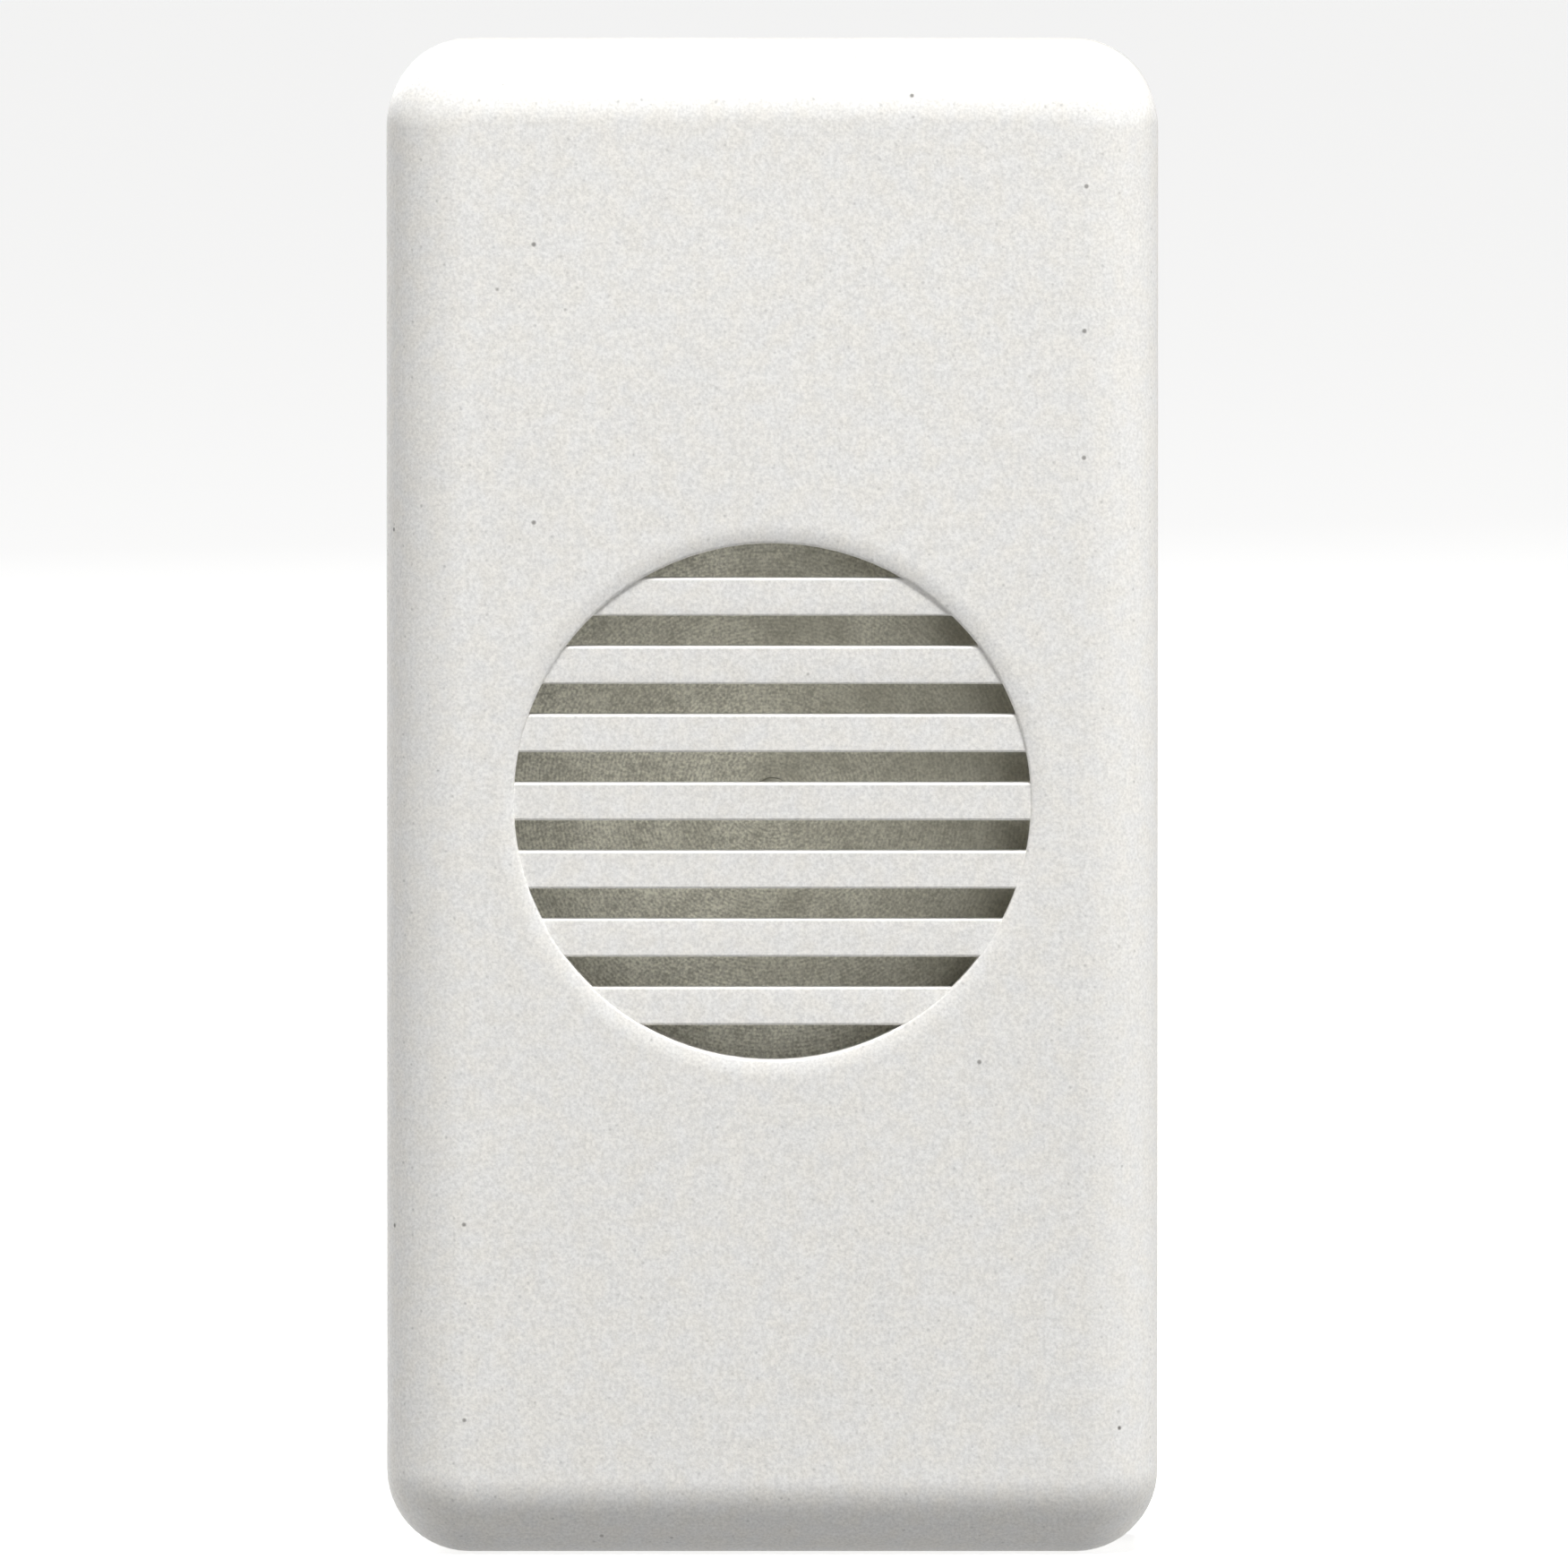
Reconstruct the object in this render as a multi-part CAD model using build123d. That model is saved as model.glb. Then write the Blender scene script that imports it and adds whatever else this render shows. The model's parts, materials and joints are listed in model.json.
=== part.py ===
"""One-module electric door bell for a modular wiring frame, in millimetres.

A moulded face with a round slotted grille hides a bronze gong. Behind it an electromagnet
pulls a hinged armature, whose sprung arm swings a brass hammer up against the gong's rim.
The housing passes through the mounting frame's window and two sprung tongues hold it there.

+Z is up and the face looks along -Y. The origin is the centre of the frame's window, in the
plane where the flange seats on the frame.
"""

import os
from math import asin, cos, hypot, pi, radians, sin, tan

from build123d import *

# Face and front cover
face_width = 22.4
face_height = 43.8
face_corner_radius = 2.4
face_edge_radius = 2.2
face_projection = 9.4  # from the frame to the front of the face
cover_side_wall = 1.3
cover_face_wall = 1.9

# Grille
grille_radius = 7.5
grille_rim = 0.6  # how much wider the recess is at the face
grille_recess = 0.16
grille_wall = 1.0  # thickness of the slats
rim_flats = 2  # flats that make the rim's rounding
slot_count = 8
slot_pitch = 1.98
slot_height = 0.89
slot_edge_break = 0.06

# Snap legs that hold the front cover to the housing
leg_width = 3.2
leg_thickness = 1.1
leg_barb = 0.5
leg_barb_length = 1.5
leg_side_offset = 3.0  # leg centre in from the housing's inner side wall
leg_end_offset = 1.8  # leg's outer face in from the housing's inner end wall

# Housing
flange_thickness = 2.0
floor_thickness = 1.6
body_side_step = 0.5  # the face stands this far past the body at each side
body_end_step = 1.7  # and this far at each end
body_wall = 1.3
body_corner_radius = 1.5
spigot_height = 0.8
spigot_wall = 0.9
spigot_gap_half = 10.0  # the spigot is left out beside the gong
fit_clearance = 0.1

# Tongues that snap into the mounting frame
frame_thickness = 2.0
latch_width = 6.4
latch_length = 11.6
latch_thickness = 1.0
latch_slit = 0.5
latch_start = 1.9  # free end, behind the flange
tooth_inset = 0.6
tooth_height = 1.4
tooth_crest = 0.6
tooth_ramp = 3.9

# Gong and its post
gong_clearance = 1.0  # gong to the cover's inner side wall
gong_thickness = 0.8
gong_depth = 3.2
gong_bend = 0.9  # the sloped edge between its face and its rim
gong_to_grille = 1.8
post_across_flats = 4.0
post_nose_radius = 0.55
post_thread_radius = 1.5
running_clearance = 0.05
thread_clearance = 0.02

# Electromagnet
yoke_thickness = 1.5
yoke_width = 12.0
yoke_bend_radius = 1.0
foot_reach = 3.0  # the foot goes this far below the gong's axis
coil_side_clearance = 1.65
coil_gap = 0.45
core_radius = 2.5
bobbin_flange = 1.0
bobbin_tube_wall = 0.9
winding_margin = 1.05
notch_room = 0.4  # behind the lead, which bends back as it leaves the notch
pole_projection = 1.0
insulation_gap = 0.8
yoke_screw_height = 5.2
yoke_screw_radius = 1.2
yoke_head_radius = 1.9
yoke_head_height = 1.1

# Armature, arm and hammer
armature_thickness = 1.2
armature_width = 11.0
armature_front = 2.8  # past the pole
armature_corner = 1.2
armature_travel = 3.5  # degrees
residual_gap = 0.05
tongue_half_width = 2.2
tongue_reach = 1.2
tongue_clearance = 0.15
floor_clearance = 6.3
arm_thickness = 0.4
arm_wide_half = 4.5
arm_narrow_half = 1.5
arm_overlap = 4.5
arm_rivet_offset = 2.8
arm_rivet_radius = 0.8
rivet_head_radius = 1.4
rivet_head_height = 0.5
hammer_radius = 1.4
hammer_height = 1.9
hammer_button = 1.2
hammer_from_rim = 1.5
strike_clearance = 0.06
rest_pad_thickness = 0.6

# Return spring
spring_wire_radius = 0.22
spring_radius = 1.05
spring_pitch = 1.9
spring_lead = 1.5  # straight length left at each end of the coils
spring_hook_radius = 0.6
spring_hole_radius = 0.5
spring_setback = 1.9  # spring axis behind the yoke
tail_margin = 0.4
wire_sides = 4
lug_half_width = 1.5
lug_below_middle = 0.5  # of the yoke's rear leg

# Terminals
terminal_rail = 1.2
terminal_rib_half = 1.5
cage_wall = 0.9
cage_inner_height = 4.2
cage_length = 6.0
cage_edge = 0.3
terminal_screw_radius = 1.3
screw_head_radius = 2.2
screw_head_height = 1.3
screw_slot_width = 0.6
screw_slot_depth = 0.6
screw_travel = 2.4
access_radius = 1.9
plate_thickness = 0.8
swivel_radius = 0.7
strip_thickness = 0.4
strip_width = 4.0
strip_corner = 1.0
tag_length = 4.0
block_gap = 0.8
block_front_wall = 0.6
block_shelf = 1.0
wire_bore_radius = 1.5
wire_funnel_radius = 2.0
wire_funnel_depth = 0.6

# Rear cover
rear_cover_thickness = 2.6
rear_edge = 0.6
pad_height = 0.5
rear_spigot_height = 1.5
rear_spigot_wall = 1.0
rear_screw_radius = 0.9
rear_screw_length = 8.0
rear_screw_head_radius = 1.7
rear_screw_head_height = 1.1
rear_screw_sink = 0.3
rear_screw_inset = 2.0
rear_boss_half = 2.1
rear_boss_length = 10.0

# Coil leads
lead_radius = 0.45
lead_rise = 2.4  # over the solder tag
lead_on_winding = 4.5
lead_sides = 6

# Sizes and places that follow
body_width = face_width - 2 * body_side_step
body_height = face_height - 2 * body_end_step
inner_half_width = body_width / 2 - body_wall
inner_half_height = body_height / 2 - body_wall
plate_front = -flange_thickness
floor_back = plate_front + floor_thickness
face_front = -face_projection
face_inner = face_front + cover_face_wall

gong_radius = face_width / 2 - cover_side_wall - gong_clearance
gong_front = face_inner + gong_to_grille
gong_rim = gong_front + gong_depth

screw_head_top = inner_half_height - fit_clearance
cage_top = screw_head_top - screw_head_height - screw_travel - fit_clearance
cage_bottom = cage_top - cage_inner_height - 2 * cage_wall
cage_width = inner_half_width - terminal_rail - terminal_rib_half - 2 * fit_clearance
terminal_x = inner_half_width - terminal_rail - fit_clearance - cage_width / 2
plate_top = cage_top - cage_wall - running_clearance
strip_top = cage_bottom + cage_wall + strip_thickness
wire_height = (strip_top + plate_top - plate_thickness) / 2

coil_flange_half = inner_half_width - coil_side_clearance
winding_radius = coil_flange_half - winding_margin
core_y = floor_back + yoke_thickness + coil_gap + coil_flange_half
pivot_y = core_y + coil_flange_half + coil_gap
yoke_back = pivot_y + yoke_thickness
yoke_top = cage_bottom - insulation_gap
tongue_end = -(inner_half_height - floor_clearance)
armature_bottom = tongue_end + tongue_reach
armature_top = armature_bottom + armature_thickness
pole_reach = pivot_y - core_y + core_radius
pole_face = armature_top + pole_reach * tan(radians(armature_travel)) + residual_gap
bobbin_bottom = pole_face + pole_projection
bobbin_top = yoke_top - yoke_thickness
armature_nose = core_y - core_radius - armature_front

hammer_y = gong_rim - hammer_from_rim
hammer_rise = (pivot_y - hammer_y + hammer_radius) * sin(radians(armature_travel))
hammer_top = -(gong_radius + hammer_rise + strike_clearance)
arm_top = hammer_top - hammer_height
arm_bottom = arm_top - arm_thickness

spring_y = yoke_back + spring_setback
lug_bottom = (armature_top + yoke_top) / 2 - lug_below_middle
tail_back = spring_y + spring_radius + tail_margin

block_front = yoke_back + block_gap
cage_front = block_front + block_front_wall
cage_back = cage_front + cage_length
terminal_y = (cage_front + cage_back) / 2
housing_back = cage_back + pad_height
body_back = housing_back + rear_cover_thickness

leg_x = inner_half_width - leg_side_offset
leg_outer = inner_half_height - leg_end_offset
rear_screw_z = inner_half_height - rear_screw_inset


def block(x, y, z):
    """A box from three (low, high) pairs."""
    size = [high - low for low, high in (x, y, z)]
    centre = [(high + low) / 2 for low, high in (x, y, z)]
    return Pos(*centre) * Box(*size)


def rounded_block(width, height, radius, y):
    """A rounded rectangle seen from the front, from the back of y to its front."""
    outline = Plane.XZ.offset(-y[1]) * RectangleRounded(width, height, radius)
    return extrude(outline, y[1] - y[0])


def rod_y(radius, y, x=0, z=0):
    """A round bar along Y."""
    return Pos(x, (y[0] + y[1]) / 2, z) * Rot(90, 0, 0) * Cylinder(radius, y[1] - y[0])


def rod_z(radius, z, x=0, y=0):
    """A round bar along Z."""
    return Pos(x, y, (z[0] + z[1]) / 2) * Cylinder(radius, z[1] - z[0])


def side_profile(points, half_width, x=0):
    """A profile given as (y, z) points, as wide as asked and centred on x."""
    outline = Plane.YZ.offset(x) * make_face(Polyline(*points, close=True))
    return extrude(outline, half_width, both=True)


def up_and_down(shape):
    """The shape and its mirror image at the other end of the body."""
    return [shape, mirror(shape, Plane.XY)]


# Front cover


def grille_slot(z, low, high):
    """One slot through the face, its front edges broken, cut off by the grille's edge."""
    surface = face_front + grille_recess
    points = [
        (surface - grille_recess, z + low - slot_edge_break),
        (surface, z + low - slot_edge_break),
        (surface + slot_edge_break, z + low),
        (face_inner + 1, z + low),
        (face_inner + 1, z + high),
        (surface + slot_edge_break, z + high),
        (surface, z + high + slot_edge_break),
        (surface - grille_recess, z + high + slot_edge_break),
    ]
    cutter = side_profile(points, grille_radius)
    return cutter & rod_y(grille_radius, (face_front, face_inner + 1))


def grille_slots():
    """All the slots. The outermost two open out to the grille's edge."""
    slots = []
    for index in range(slot_count):
        z = (index - (slot_count - 1) / 2) * slot_pitch
        low, high = -slot_height / 2, slot_height / 2
        if index == 0:
            low -= slot_height
        if index == slot_count - 1:
            high += slot_height
        slots.append(grille_slot(z, low, high))
    return slots


def recess():
    """The round recess of the grille. Its rim rolls in from the face on an arc."""
    roll = (grille_rim**2 + grille_recess**2) / (2 * grille_recess)
    sweep = asin(grille_rim / roll)
    outline = [(0, face_front + grille_recess), (0, face_front)]
    for step in range(rim_flats + 1):
        angle = sweep * step / rim_flats
        radius = grille_radius + grille_rim - roll * sin(angle)
        outline.append((radius, face_front + roll * (1 - cos(angle))))
    return revolve(make_face(Polyline(*outline, close=True)), Axis.Y)


def snap_leg(x):
    """A leg that passes through the housing's plate and hooks behind it."""
    barb_start = floor_back + fit_clearance
    points = [
        (face_inner - 0.2, leg_outer - leg_thickness),
        (face_inner - 0.2, leg_outer),
        (barb_start, leg_outer),
        (barb_start, leg_outer + leg_barb),
        (barb_start + leg_barb_length, leg_outer - leg_thickness / 2),
        (barb_start + leg_barb_length, leg_outer - leg_thickness),
    ]
    return side_profile(points, leg_width / 2, x)


def front_cover():
    """The moulded face: a shallow cap with soft front edges and the grille."""
    cap = rounded_block(face_width, face_height, face_corner_radius, (face_front, plate_front))
    cap = fillet(cap.faces().sort_by(Axis.Y)[0].edges(), face_edge_radius)
    hollow = rounded_block(
        face_width - 2 * cover_side_wall,
        face_height - 2 * cover_side_wall,
        face_corner_radius - cover_side_wall,
        (face_inner, plate_front),
    )
    cap -= hollow
    cap -= recess()
    reach = grille_radius + grille_rim
    behind_slats = (face_front + grille_recess + grille_wall, face_inner + 1)
    cap -= block((-reach, reach), behind_slats, (-reach, reach))
    for slot in grille_slots():
        cap -= slot
    for x in (-leg_x, leg_x):
        for leg in up_and_down(snap_leg(x)):
            cap += leg
    return cap


# Housing


def latch_window():
    """The slit round a frame tongue, through the end wall."""
    half = latch_width / 2 + latch_slit
    depth = (latch_start - latch_slit, latch_start + latch_length)
    return block((-half, half), depth, (inner_half_height - 1, body_height / 2 + 1))


def leg_window(x):
    """The window a snap leg passes through. The barb catches its outer edge."""
    half = leg_width / 2 + fit_clearance
    inner = leg_outer - leg_thickness - leg_barb - fit_clearance
    return block(
        (x - half, x + half), (plate_front - 1, 1), (inner, leg_outer + fit_clearance)
    )


def terminal_pocket(x):
    """The pocket a terminal slides into from behind, with its screw channel and holes."""
    half = cage_width / 2 + fit_clearance
    pocket = block(
        (x - half, x + half),
        (cage_front, housing_back + 1),
        (cage_bottom, cage_top + fit_clearance),
    )
    channel_half = screw_head_radius + 3 * fit_clearance
    pocket += block(
        (x - channel_half, x + channel_half),
        (terminal_y - channel_half, housing_back + 1),
        (cage_top, inner_half_height),
    )
    pocket += rod_z(
        access_radius, (inner_half_height - 1, body_height / 2 + 1), x, terminal_y
    )
    slot_half = strip_width / 2 + fit_clearance
    pocket += block(
        (x - slot_half, x + slot_half),
        (block_front - 1, cage_front + 1),
        (strip_top - strip_thickness, strip_top + fit_clearance),
    )
    return pocket


def housing():
    """The insulating box behind the face, with its flange, terminal pockets and bosses."""
    body = rounded_block(face_width, face_height, face_corner_radius, (plate_front, 0))
    body += rounded_block(body_width, body_height, body_corner_radius, (0, housing_back))
    body -= block(
        (-inner_half_width, inner_half_width),
        (floor_back, housing_back + 1),
        (-inner_half_height, inner_half_height),
    )

    clear_of_wall = cover_side_wall + fit_clearance
    rim = rounded_block(
        face_width - 2 * clear_of_wall,
        face_height - 2 * clear_of_wall,
        face_corner_radius - cover_side_wall,
        (plate_front - spigot_height, plate_front),
    )
    rim -= block(
        [s * (face_width / 2 - clear_of_wall - spigot_wall) for s in (-1, 1)],
        (plate_front - spigot_height - 1, plate_front + 1),
        [s * (face_height / 2 - clear_of_wall - spigot_wall) for s in (-1, 1)],
    )
    rim -= block(
        (-face_width, face_width),
        (plate_front - spigot_height - 1, plate_front),
        (-spigot_gap_half, spigot_gap_half),
    )
    body += rim

    body += block(
        (-inner_half_width, inner_half_width),
        (block_front, housing_back),
        (cage_bottom - block_shelf, inner_half_height),
    )
    for x in (-terminal_x, terminal_x):
        body -= terminal_pocket(x)

    body += block(
        (-rear_boss_half, rear_boss_half),
        (housing_back - rear_boss_length, housing_back),
        (-inner_half_height, rear_boss_half - rear_screw_z),
    )
    for z in (-rear_screw_z, rear_screw_z):
        pilot = (housing_back - rear_screw_length, housing_back + 1)
        body -= rod_y(rear_screw_radius + thread_clearance, pilot, 0, z)

    for window in up_and_down(latch_window()):
        body -= window
    for x in (-leg_x, leg_x):
        for window in up_and_down(leg_window(x)):
            body -= window
    through = (plate_front - 1, 1)
    body -= rod_y(post_thread_radius + running_clearance, through)
    body -= rod_y(yoke_screw_radius + running_clearance, through, 0, yoke_screw_height)
    body -= arm_slot()
    return body


def arm_slot():
    """The slot in the housing's plate where the hammer arm swings, and its rest pad sits."""
    half = arm_narrow_half + 0.8
    rise = (pivot_y - plate_front) * sin(radians(armature_travel))
    return block(
        (-half, half),
        (plate_front - 1, 1),
        (arm_bottom - rest_pad_thickness, arm_top + rise + 0.4),
    )


def arm_rest_pad():
    """The rubber pad in the slot that the arm falls back on."""
    half = arm_narrow_half + 0.8
    return block(
        (-half, half), (plate_front, floor_back), (arm_bottom - rest_pad_thickness, arm_bottom)
    )


def frame_latch():
    """The upper tongue, sprung inwards as its tooth passes the mounting frame."""
    inner, outer = inner_half_height, inner_half_height + latch_thickness
    root = latch_start + latch_length
    half = latch_width / 2
    tongue = block((-half, half), (latch_start, root), (inner, outer))
    tooth_face = frame_thickness + fit_clearance
    crest = tooth_face + tooth_crest
    points = [
        (tooth_face, inner + latch_thickness / 2),
        (tooth_face, outer + tooth_height),
        (crest, outer + tooth_height),
        (crest + tooth_ramp, outer),
        (crest + tooth_ramp, inner + latch_thickness / 2),
    ]
    return tongue + side_profile(points, half - tooth_inset)


# Gong


def gong():
    """A shallow bronze cup, open at the back, with a small hole for the post's nose."""
    bend = gong_bend
    inner_bend = bend / 2
    inner_radius = gong_radius - gong_thickness
    inner_front = gong_front + gong_thickness
    outline = [
        (post_nose_radius, gong_front),
        (gong_radius - bend, gong_front),
        (gong_radius, gong_front + bend),
        (gong_radius, gong_rim),
        (inner_radius, gong_rim),
        (inner_radius, inner_front + inner_bend),
        (inner_radius - inner_bend, inner_front),
        (post_nose_radius, inner_front),
    ]
    return revolve(make_face(Polyline(*outline, close=True)), Axis.Y)


def gong_post():
    """A hexagonal post, screwed through the housing into the yoke's foot."""
    hexagon = RegularPolygon(post_across_flats / 2, 6, major_radius=False)
    shoulder = gong_front + gong_thickness
    post = extrude(Plane.XZ.offset(-plate_front) * hexagon, plate_front - shoulder)
    post += rod_y(post_nose_radius, (gong_front, shoulder))
    post += rod_y(post_thread_radius, (plate_front, floor_back + yoke_thickness))
    return post


def slotted_screw(radius, head_radius, head_height, length):
    """A slotted screw along -Y: the head's seat is at y 0 and the shank runs to +Y."""
    screw = rod_y(head_radius, (-head_height, 0)) + rod_y(radius, (0, length))
    half = screw_slot_width / 2
    slot = (-head_height - 1, -head_height / 2)
    return screw - block((-head_radius - 1, head_radius + 1), slot, (-half, half))


def yoke_screw():
    """The screw above the post that keeps the yoke from turning."""
    length = floor_thickness + yoke_thickness
    screw = slotted_screw(yoke_screw_radius, yoke_head_radius, yoke_head_height, length)
    return Pos(0, plate_front, yoke_screw_height) * screw


# Electromagnet


def yoke():
    """A steel strip bent to a U: foot, top leg and rear leg, with a tongue and a spring lug."""
    half = yoke_width / 2
    thickness = yoke_thickness
    outside = block((-half, half), (floor_back, yoke_back), (-foot_reach, yoke_top))
    outside += block((-half, half), (pivot_y, yoke_back), (armature_top, yoke_top))
    bends = outside.edges().filter_by(Axis.X).group_by(Axis.Z)[-1]
    outside = fillet(bends, yoke_bend_radius + thickness / 2)
    inside = block(
        (-half - 1, half + 1),
        (floor_back + thickness, pivot_y),
        (armature_top - 1, yoke_top - thickness),
    )
    inner_bends = inside.edges().filter_by(Axis.X).group_by(Axis.Z)[-1]
    strip = outside - fillet(inner_bends, coil_gap / 2)
    strip += block(
        (-tongue_half_width, tongue_half_width), (pivot_y, yoke_back), (tongue_end, armature_top)
    )
    lug = block(
        (-lug_half_width, lug_half_width),
        (yoke_back, tail_back),
        (lug_bottom, lug_bottom + thickness),
    )
    strip += lug - rod_z(spring_hole_radius, (lug_bottom - 1, lug_bottom + 3), 0, spring_y)
    through = (floor_back - 1, floor_back + thickness + 1)
    strip -= rod_y(post_thread_radius + thread_clearance, through)
    strip -= rod_y(yoke_screw_radius + thread_clearance, through, 0, yoke_screw_height)
    neck = core_radius * 0.7 + thread_clearance
    strip -= rod_z(neck, (yoke_top - thickness - 1, yoke_top + 1), 0, core_y)
    return strip


def core():
    """The soft-iron core, its neck riveted through the yoke's top leg."""
    bar = rod_z(core_radius, (pole_face, yoke_top - yoke_thickness), 0, core_y)
    return bar + rod_z(core_radius * 0.7, (yoke_top - yoke_thickness, yoke_top), 0, core_y)


def coil_bobbin():
    """The bobbin with square flanges, the upper one notched at each side for the leads."""
    bore = core_radius + fit_clearance
    tube = bore + bobbin_tube_wall
    spool = rod_z(tube, (bobbin_bottom, bobbin_top), 0, core_y)
    for low in (bobbin_bottom, bobbin_top - bobbin_flange):
        spool += block(
            (-coil_flange_half, coil_flange_half),
            (core_y - coil_flange_half, core_y + coil_flange_half),
            (low, low + bobbin_flange),
        )
    spool -= rod_z(bore, (bobbin_bottom - 1, bobbin_top + 1), 0, core_y)
    notch_x = (winding_radius - 0.05, coil_flange_half + 1)
    notch_y = (core_y - lead_radius - 0.1, core_y + lead_radius + notch_room)
    notch = block(notch_x, notch_y, (bobbin_top - 2 * bobbin_flange, bobbin_top + 1))
    return spool - notch - mirror(notch, Plane.YZ)


def coil_winding():
    """The wound copper between the flanges."""
    low, high = bobbin_bottom + bobbin_flange, bobbin_top - bobbin_flange
    tube = core_radius + fit_clearance + bobbin_tube_wall
    return rod_z(winding_radius, (low, high), 0, core_y) - rod_z(
        tube, (low - 1, high + 1), 0, core_y
    )


# Armature, arm and hammer


def armature():
    """The steel plate that rocks on the yoke's lower edge, with a window for its tongue."""
    half = armature_width / 2
    plate = block((-half, half), (armature_nose, yoke_back + 0.6), (armature_bottom, armature_top))
    tail_half = lug_half_width + 0.3
    plate += block((-tail_half, tail_half), (yoke_back, tail_back), (armature_bottom, armature_top))
    plate = chamfer(plate.edges().filter_by(Axis.Z).group_by(Axis.Y)[0], armature_corner)
    window_half = tongue_half_width + tongue_clearance
    plate -= block(
        (-window_half, window_half),
        (pivot_y - tongue_clearance / 2, yoke_back + 2 * tongue_clearance),
        (armature_bottom - 1, armature_top + 1),
    )
    plate -= rod_z(spring_hole_radius, (armature_bottom - 1, armature_top + 1), 0, spring_y)
    for x in (-arm_rivet_offset, arm_rivet_offset):
        plate -= rod_z(arm_rivet_radius, (armature_bottom - 1, armature_top + 1), x, arm_rivet_y())
    return plate


def arm_rivet_y():
    """Where the rivets hold the arm, in front of the pole."""
    return armature_nose + arm_rivet_radius + 0.9


def hammer_arm():
    """The sprung blade: wide under the armature, joggled, then narrow out to the hammer."""
    tip = hammer_y - hammer_radius - 0.3
    joggle_front, joggle_back = 1.2, armature_nose - 0.5
    back = armature_nose + arm_overlap
    upper = [
        (tip, arm_top),
        (joggle_front, arm_top),
        (joggle_back, armature_bottom),
        (back, armature_bottom),
    ]
    lower = [(y, z - arm_thickness) for y, z in reversed(upper)]
    blade = side_profile(upper + lower, arm_wide_half)
    plan = [
        (-arm_wide_half, back),
        (-arm_wide_half, armature_nose + 0.6),
        (-arm_narrow_half, joggle_front),
        (-arm_narrow_half, tip),
        (arm_narrow_half, tip),
        (arm_narrow_half, joggle_front),
        (arm_wide_half, armature_nose + 0.6),
        (arm_wide_half, back),
    ]
    outline = make_face(Polyline(*plan, close=True))
    blade &= Pos(0, 0, arm_bottom - 5) * extrude(outline, 12)
    blade -= rod_z(hammer_radius / 2, (arm_bottom - 1, arm_top + 1), 0, hammer_y)
    for x in (-arm_rivet_offset, arm_rivet_offset):
        blade -= rod_z(
            arm_rivet_radius,
            (armature_bottom - arm_thickness - 1, armature_bottom + 1),
            x,
            arm_rivet_y(),
        )
    return blade


def arm_rivets():
    """Two rivets, flush above the armature and with heads below the arm."""
    rivets = []
    seat = armature_bottom - arm_thickness
    for x in (-arm_rivet_offset, arm_rivet_offset):
        rivet = rod_z(arm_rivet_radius, (seat, armature_top), x, arm_rivet_y())
        rivets.append(rivet + rod_z(rivet_head_radius, (seat - rivet_head_height, seat), x, arm_rivet_y()))
    return rivets[0] + rivets[1]


def hammer_head():
    """The brass hammer, its shank riveted through the arm's end."""
    head = rod_z(hammer_radius, (arm_top, hammer_top), 0, hammer_y)
    head += rod_z(hammer_radius / 2, (arm_bottom, arm_top), 0, hammer_y)
    return head + rod_z(hammer_radius, (arm_bottom - hammer_button, arm_bottom), 0, hammer_y)


def biarc(start, start_way, end, end_way):
    """Two arcs that join two points with the given directions."""
    across = end - start
    total = start_way + end_way
    a = 2 * (1 - start_way.dot(end_way))
    b = 2 * across.dot(total)
    c = -across.dot(across)
    reach = -c / b if abs(a) < 1e-9 else (-b + (b * b - 4 * a * c) ** 0.5) / (2 * a)
    middle = (start + end + (start_way - end_way) * reach) / 2
    first = Edge.make_tangent_arc(start, start_way, middle)
    second = Edge.make_tangent_arc(middle, first.tangent_at(1), end)
    return [first, second]


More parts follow.
